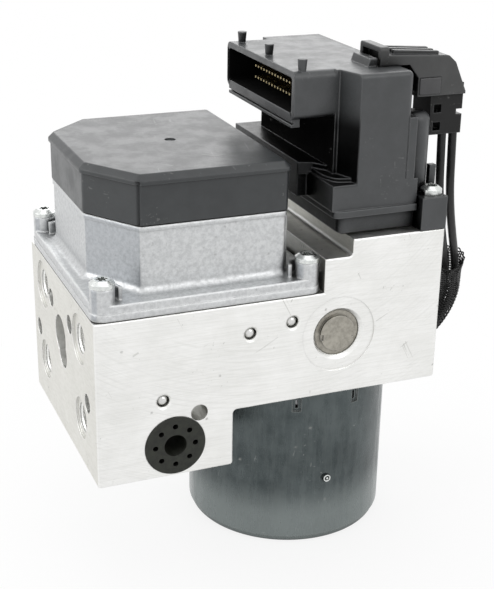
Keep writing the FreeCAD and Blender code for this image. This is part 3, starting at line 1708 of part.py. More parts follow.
def lead_sleeve():
    end = motor_radius + grommet_flange_thickness + fit_gap
    path = lead_path(lead_route[sleeve_skip_count:] + (inlet_point(last_turn_radius), inlet_point(end)))
    return tube(path, sleeve_diameter).cut(tube(path, sleeve_diameter - 2 * sleeve_wall))


def lead_grommet():
    inner_end = motor_x + can_inner_radius + 2 * fit_gap
    face = motor_x + motor_radius
    outer_end = face + grommet_flange_thickness
    flange = rod_x(grommet_flange, face + fit_gap, outer_end, motor_y, grommet_z())
    body = rod_x(grommet_diameter, inner_end, outer_end, motor_y, grommet_z())
    holes = []
    for side in (-1, 1):
        y = motor_y + side * wire_side
        holes.append(rod_x(wire_diameter + fit_gap, inner_end - 1, outer_end + 1, y, grommet_z()))
    return about_motor(join([body, flange]).cut(holes), grommet_angle)


os.makedirs("parts", exist_ok=True)
save(valve_block(), "valve_block")
save(ball_plugs(), "ball_plugs")
save(pump_plug(), "pump_plug_front")
save(to_back(pump_plug()), "pump_plug_rear")
save(pump_piston(), "pump_piston_front")
save(to_back(pump_piston()), "pump_piston_rear")
save(pump_spring(), "pump_spring_front")
save(to_back(pump_spring()), "pump_spring_rear")
save(bush(), "mount_bush_front")
save(to_back(bush()), "mount_bush_rear")
for row, side in zip(accumulator_rows, ("front", "rear")):
    save(accumulator_piston(row), "accumulator_piston_" + side)
    save(accumulator_spring(row), "accumulator_spring_" + side)
    save(accumulator_cover(row), "accumulator_cover_" + side)
save(motor_can(), "motor_can")
save(motor_end_shield(), "motor_end_shield")
save(motor_magnets(), "motor_magnets")
save(motor_shaft(), "motor_shaft")
save(armature_core(), "armature_core")
save(armature_winding(), "armature_winding")
save(commutator(), "commutator")
save(eccentric_bearing(), "eccentric_bearing")
save(bearing(lower_bearing_diameter, can_floor + fit_gap, lower_bearing_width), "lower_bearing")
save(bearing(upper_bearing_diameter, step_rise - upper_bearing_width, upper_bearing_width - fit_gap),
     "upper_bearing")
save(brush_holder(), "brush_holder")
save(brushes(), "brushes")
save(motor_screws(), "motor_screws")
save(motor_seal(), "motor_seal")
save(valves(inlet_x, inlet_dome), "inlet_valves")
save(valves(outlet_x, outlet_dome), "outlet_valves")
save(valve_coils(), "valve_coils")
save(contact_plate(), "contact_plate")
save(valve_housing(), "valve_housing")
save(housing_gasket(), "housing_gasket")
save(housing_screws(), "housing_screws")
save(cap_seal(), "cap_seal")
save(cap(), "cap")
save(ecu_base(), "ecu_base")
save(ecu_gasket(), "ecu_gasket")
save(ecu_screws(), "ecu_screws")
save(ecu_housing(), "ecu_housing")
save(circuit_board(), "circuit_board")
save(pump_relay(), "pump_relay")
save(valve_relay(), "valve_relay")
save(connector_pins(), "connector_pins")
save(plug_header_pins(), "plug_header_pins")
save(plug_housing(), "plug_housing")
save(plug_carrier(), "plug_carrier")
save(plug_lock(), "plug_lock")
save(lead_wires(), "lead_wires")
save(lead_sleeve(), "lead_sleeve")
save(lead_grommet(), "lead_grommet")
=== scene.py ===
import math

import bpy
import bmesh
from mathutils import Matrix, Vector


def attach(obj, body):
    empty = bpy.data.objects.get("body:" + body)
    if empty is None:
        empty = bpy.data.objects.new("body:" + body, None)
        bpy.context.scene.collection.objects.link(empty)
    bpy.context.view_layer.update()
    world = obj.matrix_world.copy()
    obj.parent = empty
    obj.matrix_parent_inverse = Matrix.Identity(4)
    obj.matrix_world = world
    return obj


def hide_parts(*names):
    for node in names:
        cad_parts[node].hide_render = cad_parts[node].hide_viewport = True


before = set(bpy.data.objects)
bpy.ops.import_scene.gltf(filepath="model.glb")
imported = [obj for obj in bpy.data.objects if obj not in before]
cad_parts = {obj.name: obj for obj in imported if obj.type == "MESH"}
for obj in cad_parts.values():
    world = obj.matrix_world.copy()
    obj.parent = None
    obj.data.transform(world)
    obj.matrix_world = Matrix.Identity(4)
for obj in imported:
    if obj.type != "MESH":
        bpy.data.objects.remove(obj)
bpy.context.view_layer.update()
bpy.ops.object.select_all(action="DESELECT")
print("frame loaded:", len(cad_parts), "nodes")


# camera, first, so that the cords are measured against its view
cameraSettings = {
    "place": (-0.18393, -0.40242, 0.26492),
    "azimuth": -22.491,
    "elevation": 21.916,
    "roll": 0.992,
    "lens": 75.215,      # for the sensor's 36 mm along the picture's height
}


def addCamera(settings):
    bpy.ops.object.camera_add(location=settings["place"])
    camera = bpy.context.object
    camera.name = "photoCamera"
    a, e = math.radians(settings["azimuth"]), math.radians(settings["elevation"])
    back = Vector((math.sin(a) * math.cos(e), -math.cos(a) * math.cos(e), math.sin(e)))
    camera.rotation_mode = "QUATERNION"
    camera.rotation_quaternion = (-back).to_track_quat("-Z", "Y")
    camera.rotation_quaternion @= Matrix.Rotation(math.radians(settings["roll"]), 3, "Z").to_quaternion()
    camera.data.lens = settings["lens"]
    camera.data.clip_start = 0.01
    camera.data.clip_end = 20
    bpy.context.scene.camera = camera


addCamera(cameraSettings)


# node helpers
def putNode(tree, kind, props=None, sockets=None):
    node = tree.nodes.new(kind)
    for key, value in (props or {}).items():
        setattr(node, key, value)
    for key, value in (sockets or {}).items():
        if isinstance(value, bpy.types.NodeSocket):
            tree.links.new(value, node.inputs[key])
        else:
            node.inputs[key].default_value = value
    return node


def putMath(tree, operation, a, b=0.0, clamp=False):
    node = putNode(tree, "ShaderNodeMath", {"operation": operation, "use_clamp": clamp}, {0: a, 1: b})
    return node.outputs[0]


def putVector(tree, operation, *values):
    return putNode(tree, "ShaderNodeVectorMath", {"operation": operation}, dict(enumerate(values)))


def putMix(tree, factor, first, second, blend="MIX"):
    node = putNode(tree, "ShaderNodeMix", {"data_type": "RGBA", "blend_type": blend, "clamp_factor": True},
                   {0: factor, 6: first, 7: second})
    return node.outputs[2]


def putRange(tree, value, low, high, newLow=0.0, newHigh=1.0):
    return putNode(tree, "ShaderNodeMapRange", {"interpolation_type": "SMOOTHSTEP"},
                   {0: value, 1: low, 2: high, 3: newLow, 4: newHigh}).outputs[0]


def putNoise(tree, place, scale, detail=2.0, roughness=0.5):
    return putNode(tree, "ShaderNodeTexNoise", None,
                   {"Vector": place, "Scale": scale, "Detail": detail, "Roughness": roughness})


def startGroup(name, inputs, outputs):
    group = bpy.data.node_groups.new(name, "ShaderNodeTree")
    for label, kind, value in inputs:
        socket = group.interface.new_socket(name=label, in_out="INPUT", socket_type="NodeSocket" + kind)
        socket.default_value = value
    for label, kind in outputs:
        group.interface.new_socket(name=label, in_out="OUTPUT", socket_type="NodeSocket" + kind)
    return group, group.nodes.new("NodeGroupInput"), group.nodes.new("NodeGroupOutput")


def useGroup(tree, group, **sockets):
    node = putNode(tree, "ShaderNodeGroup", {"node_tree": group})
    for key, value in sockets.items():
        if isinstance(value, bpy.types.NodeSocket):
            tree.links.new(value, node.inputs[key])
        else:
            node.inputs[key].default_value = value
    return node.outputs


# shared effects: what each one is made with, then its node group
edgeLook = {"samples": 6, "from": 0.01, "to": 0.22}
grainLook = {"detail": 3.0, "roughness": 0.6, "broadDetail": 5.0, "broadRoughness": 0.7, "from": 0.3,
             "to": 0.7}
toolLook = {"scale": 5.0, "detail": 5.0, "roughness": 0.7, "from": 0.35, "to": 0.75}
arcLook = {"detail": 3.0, "roughness": 0.6, "from": 0.42, "to": 0.7, "fadeScale": 45.0, "fadeFrom": 0.35,
           "fadeTo": 0.65}
speckLook = {"bendScale": 900.0, "bend": (0.0012, 0.0012, 0.0012), "from": 0.02, "to": 0.16}
scratchLook = {"draw": (25, 900, 900), "detail": 2.0, "patchScale": 70.0, "patchDetail": 3.0,
               "patchLevel": 0.15, "from": 0.66, "to": 0.72}
hollowLook = {"samples": 6}
dustLook = {"detail": 6.0, "roughness": 0.72, "upFrom": 0.2, "upTo": 0.95, "from": 0.35, "to": 0.8}


def makeEdgeGroup(look):
    group, given, result = startGroup("softEdges", [("Radius", "Float", 0.0005)],
                                      [("Mask", "Float"), ("Normal", "Vector")])
    bevel = putNode(group, "ShaderNodeBevel", {"samples": look["samples"]},
                    {"Radius": given.outputs["Radius"]})
    flat = putNode(group, "ShaderNodeNewGeometry").outputs["Normal"]
    turn = putVector(group, "DOT_PRODUCT", bevel.outputs[0], flat).outputs["Value"]
    mask = putRange(group, putMath(group, "SUBTRACT", 1.0, turn), look["from"], look["to"])
    group.links.new(mask, result.inputs["Mask"])
    group.links.new(bevel.outputs[0], result.inputs["Normal"])
    return group


def makeGrainGroup(look):
    inputs = [("Vector", "Vector", (0, 0, 0)), ("Size", "Float", 0.0006), ("Blotch", "Float", 0.02)]
    group, given, result = startGroup("mouldGrain", inputs, [("Height", "Float"), ("Mask", "Float")])
    scale = putMath(group, "DIVIDE", 1.0, given.outputs["Size"])
    fine = putNoise(group, given.outputs["Vector"], scale, look["detail"], look["roughness"])
    broadScale = putMath(group, "DIVIDE", 1.0, given.outputs["Blotch"])
    broad = putNoise(group, given.outputs["Vector"], broadScale, look["broadDetail"],
                     look["broadRoughness"])
    group.links.new(fine.outputs["Fac"], result.inputs["Height"])
    group.links.new(putRange(group, broad.outputs["Fac"], look["from"], look["to"]), result.inputs["Mask"])
    return group


def makeToolGroup(look):
    inputs = [("Vector", "Vector", (0, 0, 0)), ("Stretch", "Vector", (20, 400, 400))]
    group, given, result = startGroup("toolMarks", inputs, [("Height", "Float"), ("Mask", "Float")])
    stretched = putVector(group, "MULTIPLY", given.outputs["Vector"], given.outputs["Stretch"]).outputs[0]
    lines = putNoise(group, stretched, look["scale"], look["detail"], look["roughness"])
    group.links.new(lines.outputs["Fac"], result.inputs["Height"])
    group.links.new(putRange(group, lines.outputs["Fac"], look["from"], look["to"]), result.inputs["Mask"])
    return group


def makeArcGroup(look):
    inputs = [("Vector", "Vector", (0, 0, 0)), ("Centre", "Vector", (0, 0, 0)),
              ("Flatten", "Vector", (1, 0, 1)), ("Pitch", "Float", 0.001)]
    group, given, result = startGroup("cutterArcs", inputs, [("Height", "Float"), ("Mask", "Float")])
    flat = putVector(group, "MULTIPLY", given.outputs["Vector"], given.outputs["Flatten"]).outputs[0]
    reach = putVector(group, "DISTANCE", flat, given.outputs["Centre"]).outputs["Value"]
    rings = putNode(group, "ShaderNodeTexNoise", {"noise_dimensions": "1D"},
                    {"W": putMath(group, "DIVIDE", reach, given.outputs["Pitch"]), "Scale": 1.0,
                     "Detail": look["detail"], "Roughness": look["roughness"]})
    fade = putNoise(group, given.outputs["Vector"], look["fadeScale"], look["detail"], look["roughness"])
    mask = putMath(group, "MULTIPLY", putRange(group, rings.outputs["Fac"], look["from"], look["to"]),
                   putRange(group, fade.outputs["Fac"], look["fadeFrom"], look["fadeTo"]))
    group.links.new(rings.outputs["Fac"], result.inputs["Height"])
    group.links.new(mask, result.inputs["Mask"])
    return group


def makeSpeckGroup(look):
    inputs = [("Vector", "Vector", (0, 0, 0)), ("Size", "Float", 0.004), ("Share", "Float", 0.1)]
    group, given, result = startGroup("darkSpecks", inputs, [("Mask", "Float")])
    scale = putMath(group, "DIVIDE", 1.0, given.outputs["Size"])
    bent = putNoise(group, given.outputs["Vector"], look["bendScale"])
    place = putVector(group, "MULTIPLY_ADD", bent.outputs["Color"], look["bend"], given.outputs["Vector"])
    cells = putNode(group, "ShaderNodeTexVoronoi", None, {"Vector": place.outputs[0], "Scale": scale})
    draw = putNode(group, "ShaderNodeSeparateColor", None, {0: cells.outputs["Color"]}).outputs[0]
    chosen = putMath(group, "LESS_THAN", draw, given.outputs["Share"])
    dot = putRange(group, cells.outputs["Distance"], look["from"], look["to"], 1.0, 0.0)
    group.links.new(putMath(group, "MULTIPLY", chosen, dot), result.inputs["Mask"])
    return group


def makeScratchGroup(look):
    inputs = [("Vector", "Vector", (0, 0, 0)), ("Turn", "Vector", (0, 0, 0)), ("Share", "Float", 0.3)]
    group, given, result = startGroup("fineScratches", inputs, [("Mask", "Float")])
    turned = putNode(group, "ShaderNodeVectorRotate", {"rotation_type": "EULER_XYZ"},
                     {"Vector": given.outputs["Vector"], "Rotation": given.outputs["Turn"]})
    drawn = putVector(group, "MULTIPLY", turned.outputs[0], look["draw"]).outputs[0]
    lines = putNoise(group, drawn, 1.0, look["detail"])
    patches = putNoise(group, given.outputs["Vector"], look["patchScale"], look["patchDetail"])
    level = putMath(group, "ADD", given.outputs["Share"], look["patchLevel"])
    here = putMath(group, "LESS_THAN", patches.outputs["Fac"], level)
    thin = putRange(group, lines.outputs["Fac"], look["from"], look["to"])
    group.links.new(putMath(group, "MULTIPLY", here, thin), result.inputs["Mask"])
    return group


# how deep a place lies in a hollow, for painted shade: darker where less light reaches
def makeHollowGroup(look):
    inputs = [("Reach", "Float", 0.004), ("Shut", "Float", 0.25), ("Open", "Float", 0.95)]
    group, given, result = startGroup("paintedHollowShade", inputs, [("Mask", "Float")])
    openness = putNode(group, "ShaderNodeAmbientOcclusion", {"samples": look["samples"]},
                       {"Distance": given.outputs["Reach"]}).outputs["AO"]
    mask = putRange(group, openness, given.outputs["Shut"], given.outputs["Open"], 1.0, 0.0)
    group.links.new(mask, result.inputs["Mask"])
    return group


def makeDustGroup(look):
    inputs = [("Vector", "Vector", (0, 0, 0)), ("Size", "Float", 0.01)]
    group, given, result = startGroup("settledDust", inputs, [("Mask", "Float")])
    scale = putMath(group, "DIVIDE", 1.0, given.outputs["Size"])
    cloud = putNoise(group, given.outputs["Vector"], scale, look["detail"], look["roughness"])
    normal = putNode(group, "ShaderNodeNewGeometry").outputs["Normal"]
    up = putNode(group, "ShaderNodeSeparateXYZ", None, {0: normal}).outputs["Z"]
    mask = putMath(group, "MULTIPLY", putRange(group, up, look["upFrom"], look["upTo"]),
                   putRange(group, cloud.outputs["Fac"], look["from"], look["to"]))
    group.links.new(mask, result.inputs["Mask"])
    return group


edgeGroup = makeEdgeGroup(edgeLook)
grainGroup = makeGrainGroup(grainLook)
toolGroup = makeToolGroup(toolLook)
arcGroup = makeArcGroup(arcLook)
speckGroup = makeSpeckGroup(speckLook)
scratchGroup = makeScratchGroup(scratchLook)
hollowGroup = makeHollowGroup(hollowLook)
dustGroup = makeDustGroup(dustLook)


def startMaterial(name):
    material = bpy.data.materials.new(name)
    material.use_nodes = True
    tree = material.node_tree
    tree.nodes.clear()
    output = putNode(tree, "ShaderNodeOutputMaterial")
    shader = putNode(tree, "ShaderNodeBsdfPrincipled")
    tree.links.new(shader.outputs[0], output.inputs["Surface"])
    return material, tree, shader


def layColour(tree, mask, tone, colour, added, blend="MIX"):
    return putMix(tree, putMath(tree, "MULTIPLY", mask, tone), colour, added + (1,), blend)


def facingMask(tree, direction, low, high, bothWays=False):
    normal = putNode(tree, "ShaderNodeTexCoord").outputs["Normal"]
    facing = putVector(tree, "DOT_PRODUCT", normal, direction).outputs["Value"]
    if bothWays:
        facing = putMath(tree, "ABSOLUTE", facing)
    return putRange(tree, facing, low, high)


facingLook = {"arcFrom": 0.9, "sideFrom": 0.93, "full": 0.99, "edgeHighlightLeast": 0.45}


# one builder for every hard finish: two tones, tool marks, specks, scratches, painted shade in hollows,
# painted highlights on edges and dust
def makeFinish(name, settings):
    material, tree, shader = startMaterial(name)
    place = putNode(tree, "ShaderNodeTexCoord").outputs["Object"]
    grain = useGroup(tree, grainGroup, Vector=place, Size=settings["grain"], Blotch=settings["blotch"])
    colour = putMix(tree, grain["Mask"], settings["colour"] + (1,), settings["shade"] + (1,))
    height = grain["Height"]
    roughMask = grain["Mask"]
    if "stretch" in settings:
        marks = useGroup(tree, toolGroup, Vector=place, Stretch=settings["stretch"])
        colour = layColour(tree, marks["Mask"], settings["markTone"], colour, settings["markColour"])
        height = putMath(tree, "ADD", putMath(tree, "MULTIPLY", marks["Height"], settings["markDepth"]),
                         height)
        roughMask = marks["Mask"]
    if "arcCentre" in settings:
        arcs = useGroup(tree, arcGroup, Vector=place, Centre=settings["arcCentre"],
                        Flatten=settings["arcPlane"], Pitch=settings["arcPitch"])
        facing = facingMask(tree, settings["arcFacing"], facingLook["arcFrom"], facingLook["full"], True)
        arcMask = putMath(tree, "MULTIPLY", arcs["Mask"], facing)
        colour = layColour(tree, arcMask, settings["arcTone"], colour, settings["arcColour"])
        height = putMath(tree, "ADD", height, putMath(tree, "MULTIPLY", arcMask, settings["arcDepth"]))
    if "speckShare" in settings:
        specks = useGroup(tree, speckGroup, Vector=place, Size=settings["speckSize"],
                          Share=settings["speckShare"])
        colour = layColour(tree, specks["Mask"], settings["speckTone"], colour, settings["speckColour"])
    if "scratchTone" in settings:
        for turn in settings["scratchTurns"]:
            scratches = useGroup(tree, scratchGroup, Vector=place, Turn=turn,
                                 Share=settings["scratchShare"])
            colour = layColour(tree, scratches["Mask"], settings["scratchTone"], colour,
                               settings["scratchColour"])
    # faces turned one way take another tone: on the milled block's left end a finish of its own, on the
    # cast housing's chamfer painted shade
    if "sideFacing" in settings:
        facing = facingMask(tree, settings["sideFacing"], facingLook["sideFrom"], facingLook["full"])
        colour = layColour(tree, facing, settings["sideTone"], colour, settings["sideColour"], "MULTIPLY")
    # lighter towards the bottom: painted reflection of the floor
    if "lowReflectionColour" in settings:
        level = putNode(tree, "ShaderNodeSeparateXYZ", None, {0: place}).outputs["Z"]
        low = putRange(tree, level, settings["lowFrom"], settings["lowTo"], settings["lowTone"], 0.0)
        colour = putMix(tree, low, colour, settings["lowReflectionColour"] + (1,))
    # painted shade in hollows and corners, by how shut in each place is; where asked, the hollows become a
    # black metal so that no reflection lightens that painted shade
    hollow = useGroup(tree, hollowGroup, Reach=settings["hollowReach"],
                      Shut=settings.get("hollowShut", 0.25), Open=settings.get("hollowOpen", 0.95))
    hollowMask = putMath(tree, "MULTIPLY", hollow["Mask"], settings["hollowTone"])
    # the recess box adds a painted shadow to the painted shade of the hollows
    if "recess" in settings:
        hollowMask = putMath(tree, "MAXIMUM", hollowMask, recessShadeMask(tree, place, settings["recess"]))
    colour = putMix(tree, hollowMask, colour, settings["hollowColour"] + (1,))
    if settings.get("hollowShadeMatt"):      # a black metal reflects less than any plastic does
        tree.links.new(hollowMask, shader.inputs["Metallic"])
    else:
        shader.inputs["Metallic"].default_value = settings.get("metal", 0.0)
    edges = useGroup(tree, edgeGroup, Radius=settings["edgeRadius"])
    # a painted highlight along the edges, patchy with the grain
    edgeHighlight = putRange(tree, grain["Mask"], 0.0, 1.0, facingLook["edgeHighlightLeast"], 1.0)
    edgeHighlight = putMath(tree, "MULTIPLY", edges["Mask"], edgeHighlight)
    colour = layColour(tree, edgeHighlight, settings["edgeTone"], colour, settings["edgeColour"])
    if "dustTone" in settings:
        dust = useGroup(tree, dustGroup, Vector=place, Size=settings["dustSize"])
        colour = layColour(tree, dust["Mask"], settings["dustTone"], colour, settings["dustColour"])
    bump = putNode(tree, "ShaderNodeBump", None,
                   {"Strength": settings["bump"], "Distance": settings.get("bumpDepth", 0.0001),
                    "Height": height, "Normal": edges["Normal"]})
    rough = putRange(tree, roughMask, 0.0, 1.0, settings["roughLow"], settings["roughHigh"])
    tree.links.new(colour, shader.inputs["Base Color"])
    tree.links.new(rough, shader.inputs["Roughness"])
    tree.links.new(bump.outputs[0], shader.inputs["Normal"])
    shader.inputs["IOR"].default_value = settings.get("ior", 1.5)
    return material


# painted shadow in the deep recess under an overhang: along X and Z, its start and the soft edge there, its
# end and that edge
def recessShadeMask(tree, place, recess):
    parts = putNode(tree, "ShaderNodeSeparateXYZ", None, {0: place}).outputs
    mask = recess["tone"]
    for axis in ("X", "Z"):
        low, softLow, high, softHigh = recess[axis]
        mask = putMath(tree, "MULTIPLY", putRange(tree, parts[axis], low, low + softLow), mask)
        mask = putMath(tree, "MULTIPLY", putRange(tree, parts[axis], high - softHigh, high, 1.0, 0.0), mask)
    return mask


# a second finish on the faces of a node that lie in a box: lower and upper corner in metres
def dressPart(material, name, low, high):
    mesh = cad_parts[name].data
    mesh.materials.append(material)
    for face in mesh.polygons:
        if all(a < c < b for a, c, b in zip(low, face.center, high)):
            face.material_index = len(mesh.materials) - 1


def dress(material, *names):
    for name in names:
        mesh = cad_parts[name].data
        mesh.materials.clear()
        mesh.materials.append(material)
    print("finish", material.name, "on", len(names), "nodes")


milledAlloy = {
    "colour": (0.93, 0.93, 0.915), "shade": (0.85, 0.85, 0.83), "metal": 1.0, "roughLow": 0.32,
    "roughHigh": 0.48, "grain": 0.0005, "blotch": 0.016, "bump": 0.3, "stretch": (14, 60, 420),
    "markTone": 0.34, "markColour": (0.66, 0.66, 0.63), "markDepth": 1.2, "edgeRadius": 0.0004,
    "edgeColour": (0.97, 0.97, 0.96), "edgeTone": 0.7, "arcCentre": (-0.0246, 0.0, 0.176),
    "arcPlane": (1, 0, 1), "arcPitch": 0.0009, "arcFacing": (0, 1, 0), "arcTone": 0.4,
    "arcColour": (0.70, 0.70, 0.68), "arcDepth": 1.4, "speckSize": 0.005, "speckShare": 0.14,
    "speckTone": 0.6, "speckColour": (0.30, 0.30, 0.28), "scratchTone": 0.45, "scratchShare": 0.27,
    "scratchColour": (0.42, 0.42, 0.39), "scratchTurns": ((0, 0.5, 0), (0, -1.1, 0), (0.9, 0, 1.2)),
    "sideFacing": (-1, 0, 0), "sideTone": 0.85, "sideColour": (0.80, 0.79, 0.75),
    "hollowTone": 0.5, "hollowReach": 0.003, "hollowColour": (0.36, 0.36, 0.33),
}
dress(makeFinish("milledAlloy", milledAlloy), "valve_block")

# the chamfer face of the cast housing is darkened by its facing: painted shade
castAlloy = {
    "colour": (0.65, 0.66, 0.665), "shade": (0.53, 0.54, 0.545), "metal": 1.0, "roughLow": 0.34,
    "roughHigh": 0.54, "grain": 0.0006, "blotch": 0.0014, "bump": 0.55, "bumpDepth": 0.00014,
    "edgeRadius": 0.0014, "edgeColour": (0.92, 0.93, 0.92), "edgeTone": 0.6,
    "sideFacing": (-0.834, -0.551, 0), "sideTone": 0.8, "sideColour": (0.66, 0.68, 0.71),
    "hollowTone": 0.75, "hollowReach": 0.005, "hollowColour": (0.17, 0.175, 0.18), "speckSize": 0.004,
    "speckShare": 0.2, "speckTone": 0.5, "speckColour": (0.25, 0.25, 0.25), "scratchTone": 0.35,
    "scratchShare": 0.25, "scratchColour": (0.30, 0.30, 0.30), "scratchTurns": ((0, 0.2, 0), (0.4, 1.3, 0)),
}
dress(makeFinish("castAlloy", castAlloy), "valve_housing", "motor_end_shield", "accumulator_piston_front",
      "accumulator_piston_rear")

capPlastic = {
    "colour": (0.040, 0.044, 0.046), "shade": (0.031, 0.034, 0.036), "roughLow": 0.30, "roughHigh": 0.40,
    "grain": 0.00035, "blotch": 0.010, "bump": 0.35, "edgeRadius": 0.0009,
    "edgeColour": (0.13, 0.135, 0.14), "edgeTone": 0.45, "dustTone": 0.012, "dustSize": 0.009,
    "dustColour": (0.42, 0.42, 0.40), "scratchTone": 0.22, "scratchShare": 0.28,
    "scratchColour": (0.30, 0.30, 0.29), "scratchTurns": ((0, 0, 0.7), (0.3, 0.9, 1.9)), "hollowTone": 0.9,
    "hollowReach": 0.008, "hollowColour": (0.004, 0.004, 0.004), "hollowShadeMatt": True,
}
dress(makeFinish("capPlastic", capPlastic), "cap")

# the unit's plastic: painted shade reaching far into its hollows, and a painted shadow in the recess under
# the connector's shroud
unitPlastic = dict(capPlastic, colour=(0.060, 0.063, 0.066), shade=(0.048, 0.051, 0.053), hollowReach=0.055,
                   hollowTone=1.0, hollowShut=0.42, hollowOpen=0.82, edgeColour=(0.2, 0.205, 0.21),
                   edgeTone=0.6, scratchTurns=((0, 1.57, 0.3), (0, 0, 0.4)),
                   recess={"tone": 0.95, "X": (-0.012, 0.014, 0.0064, 0.0002),
                           "Z": (0.1415, 0.002, 0.1700, 0.009)})
dress(makeFinish("unitPlastic", unitPlastic), "ecu_base", "ecu_housing")
socketShadePlastic = dict(capPlastic, colour=(0.004, 0.004, 0.004), shade=(0.003, 0.003, 0.003), roughLow=0.75,
                     roughHigh=0.9, dustTone=0.0, edgeTone=0.0, ior=1.15)
recessShadePlastic = dict(socketShadePlastic, ior=1.02)
# faces painted near black with little reflection, as shade: lower and upper corner of the connector's
# socket, and of the wall under its shroud
socketShadeBox = ((-0.0164, -0.0287, 0.1655), (0.0014, 0.0311, 0.1782))
recessShadeBox = ((0.0010, -0.045, 0.1455), (0.0018, 0.045, 0.1641))
dressPart(makeFinish("socketShadePlastic", socketShadePlastic), "ecu_housing", *socketShadeBox)
dressPart(makeFinish("recessShadePlastic", recessShadePlastic), "ecu_housing", *recessShadeBox)

plugPlastic = dict(capPlastic, colour=(0.055, 0.056, 0.056), shade=(0.042, 0.043, 0.043))
dress(makeFinish("plugPlastic", plugPlastic), "plug_housing", "contact_plate", "valve_coils",
      "brush_holder")

carrierPlastic = dict(plugPlastic, colour=(0.010, 0.010, 0.010), shade=(0.007, 0.007, 0.007), ior=1.35)
dress(makeFinish("carrierPlastic", carrierPlastic), "plug_carrier")

lockPlastic = dict(capPlastic, colour=(0.060, 0.060, 0.062), shade=(0.045, 0.045, 0.047))
dress(makeFinish("lockPlastic", lockPlastic), "plug_lock")

coatedSteel = {
    "colour": (0.085, 0.102, 0.104), "shade": (0.040, 0.051, 0.053), "metal": 0.7, "roughLow": 0.24,
    "roughHigh": 0.46, "grain": 0.0006, "blotch": 0.022, "bump": 0.2, "stretch": (60, 60, 9),
    "markTone": 0.34, "markColour": (0.17, 0.192, 0.190), "markDepth": 0.3, "edgeRadius": 0.0008,
    "edgeColour": (0.45, 0.47, 0.46), "edgeTone": 0.7, "speckSize": 0.006, "speckShare": 0.2,
    "speckTone": 0.5, "speckColour": (0.38, 0.38, 0.36), "scratchTone": 0.4, "scratchShare": 0.26,
    "scratchColour": (0.40, 0.41, 0.40), "scratchTurns": ((0, 1.5, 0.2), (0, 0.3, 0.9)), "lowFrom": 0.010,
    "lowTo": 0.026, "lowTone": 0.62, "lowReflectionColour": (0.26, 0.29, 0.285), "hollowTone": 0.85,
    "hollowReach": 0.003, "hollowColour": (0.02, 0.024, 0.025),
}
dress(makeFinish("coatedSteel", coatedSteel), "motor_can")

platedSteel = {
    "colour": (0.80, 0.82, 0.80), "shade": (0.60, 0.62, 0.61), "metal": 1.0, "roughLow": 0.2,
    "roughHigh": 0.36, "grain": 0.0004, "blotch": 0.002, "bump": 0.2, "edgeRadius": 0.0002,
    "edgeColour": (0.90, 0.90, 0.88), "edgeTone": 0.5, "hollowTone": 0.6, "hollowReach": 0.001,
    "hollowColour": (0.05, 0.05, 0.048),
}
dress(makeFinish("platedSteel", platedSteel), "housing_screws", "ecu_screws", "motor_screws",
      "accumulator_cover_front", "accumulator_cover_rear")

plugSteel = dict(platedSteel, colour=(0.42, 0.40, 0.35), shade=(0.30, 0.285, 0.25), roughLow=0.3,
                 roughHigh=0.48, speckSize=0.003, speckShare=0.3, speckTone=0.7,
                 speckColour=(0.12, 0.11, 0.09), hollowReach=0.0022)
dress(makeFinish("plugSteel", plugSteel), "pump_plug_front", "pump_plug_rear")

groundSteel = dict(platedSteel, colour=(0.74, 0.74, 0.73), shade=(0.62, 0.62, 0.61), roughLow=0.18,
                   roughHigh=0.3)
dress(makeFinish("ballSteel", dict(groundSteel, hollowTone=0.1)), "ball_plugs")
dress(makeFinish("groundSteel", groundSteel), "pump_piston_front", "pump_piston_rear",
      "pump_spring_front", "pump_spring_rear", "accumulator_spring_front", "accumulator_spring_rear",
      "motor_shaft", "eccentric_bearing", "lower_bearing", "upper_bearing", "inlet_valves", "outlet_valves")

coreSteel = dict(platedSteel, colour=(0.30, 0.30, 0.31), shade=(0.22, 0.22, 0.23), roughLow=0.4,
                 roughHigh=0.55)
dress(makeFinish("coreSteel", coreSteel), "armature_core")

windingCopper = dict(platedSteel, colour=(0.72, 0.36, 0.20), shade=(0.58, 0.27, 0.14))
dress(makeFinish("windingCopper", windingCopper), "armature_winding", "commutator")

goldContact = dict(platedSteel, colour=(0.42, 0.33, 0.14), shade=(0.30, 0.24, 0.10), roughLow=0.24,
                   roughHigh=0.36)
dress(makeFinish("goldContact", goldContact), "connector_pins")

tinContact = dict(platedSteel, colour=(0.70, 0.70, 0.68), shade=(0.62, 0.62, 0.60))
dress(makeFinish("tinContact", tinContact), "plug_header_pins")

bushRubber = {
    "colour": (0.010, 0.011, 0.008), "shade": (0.030, 0.033, 0.025), "roughLow": 0.42, "roughHigh": 0.62,
    "ior": 1.4, "grain": 0.0004, "blotch": 0.003, "bump": 0.5, "edgeRadius": 0.0004,
    "edgeColour": (0.09, 0.09, 0.08), "edgeTone": 0.5, "dustTone": 0.1, "dustSize": 0.006,
    "dustColour": (0.3, 0.3, 0.28), "hollowTone": 0.95, "hollowReach": 0.004,
    "hollowColour": (0.003, 0.003, 0.003),
}
dress(makeFinish("bushRubber", bushRubber), "mount_bush_front", "mount_bush_rear", "motor_seal", "cap_seal",
      "housing_gasket", "ecu_gasket", "lead_grommet")

ferriteBlock = dict(bushRubber, colour=(0.07, 0.07, 0.075), shade=(0.05, 0.05, 0.055), roughLow=0.6,
                    roughHigh=0.75)
dress(makeFinish("ferriteBlock", ferriteBlock), "motor_magnets", "brushes")

boardLacquer = dict(capPlastic, colour=(0.03, 0.16, 0.07), shade=(0.02, 0.12, 0.05), roughLow=0.25,
                    roughHigh=0.4)
dress(makeFinish("boardLacquer", boardLacquer), "circuit_board")

relayPlastic = dict(capPlastic, colour=(0.06, 0.06, 0.062), shade=(0.05, 0.05, 0.052))
dress(makeFinish("relayPlastic", relayPlastic), "pump_relay", "valve_relay")


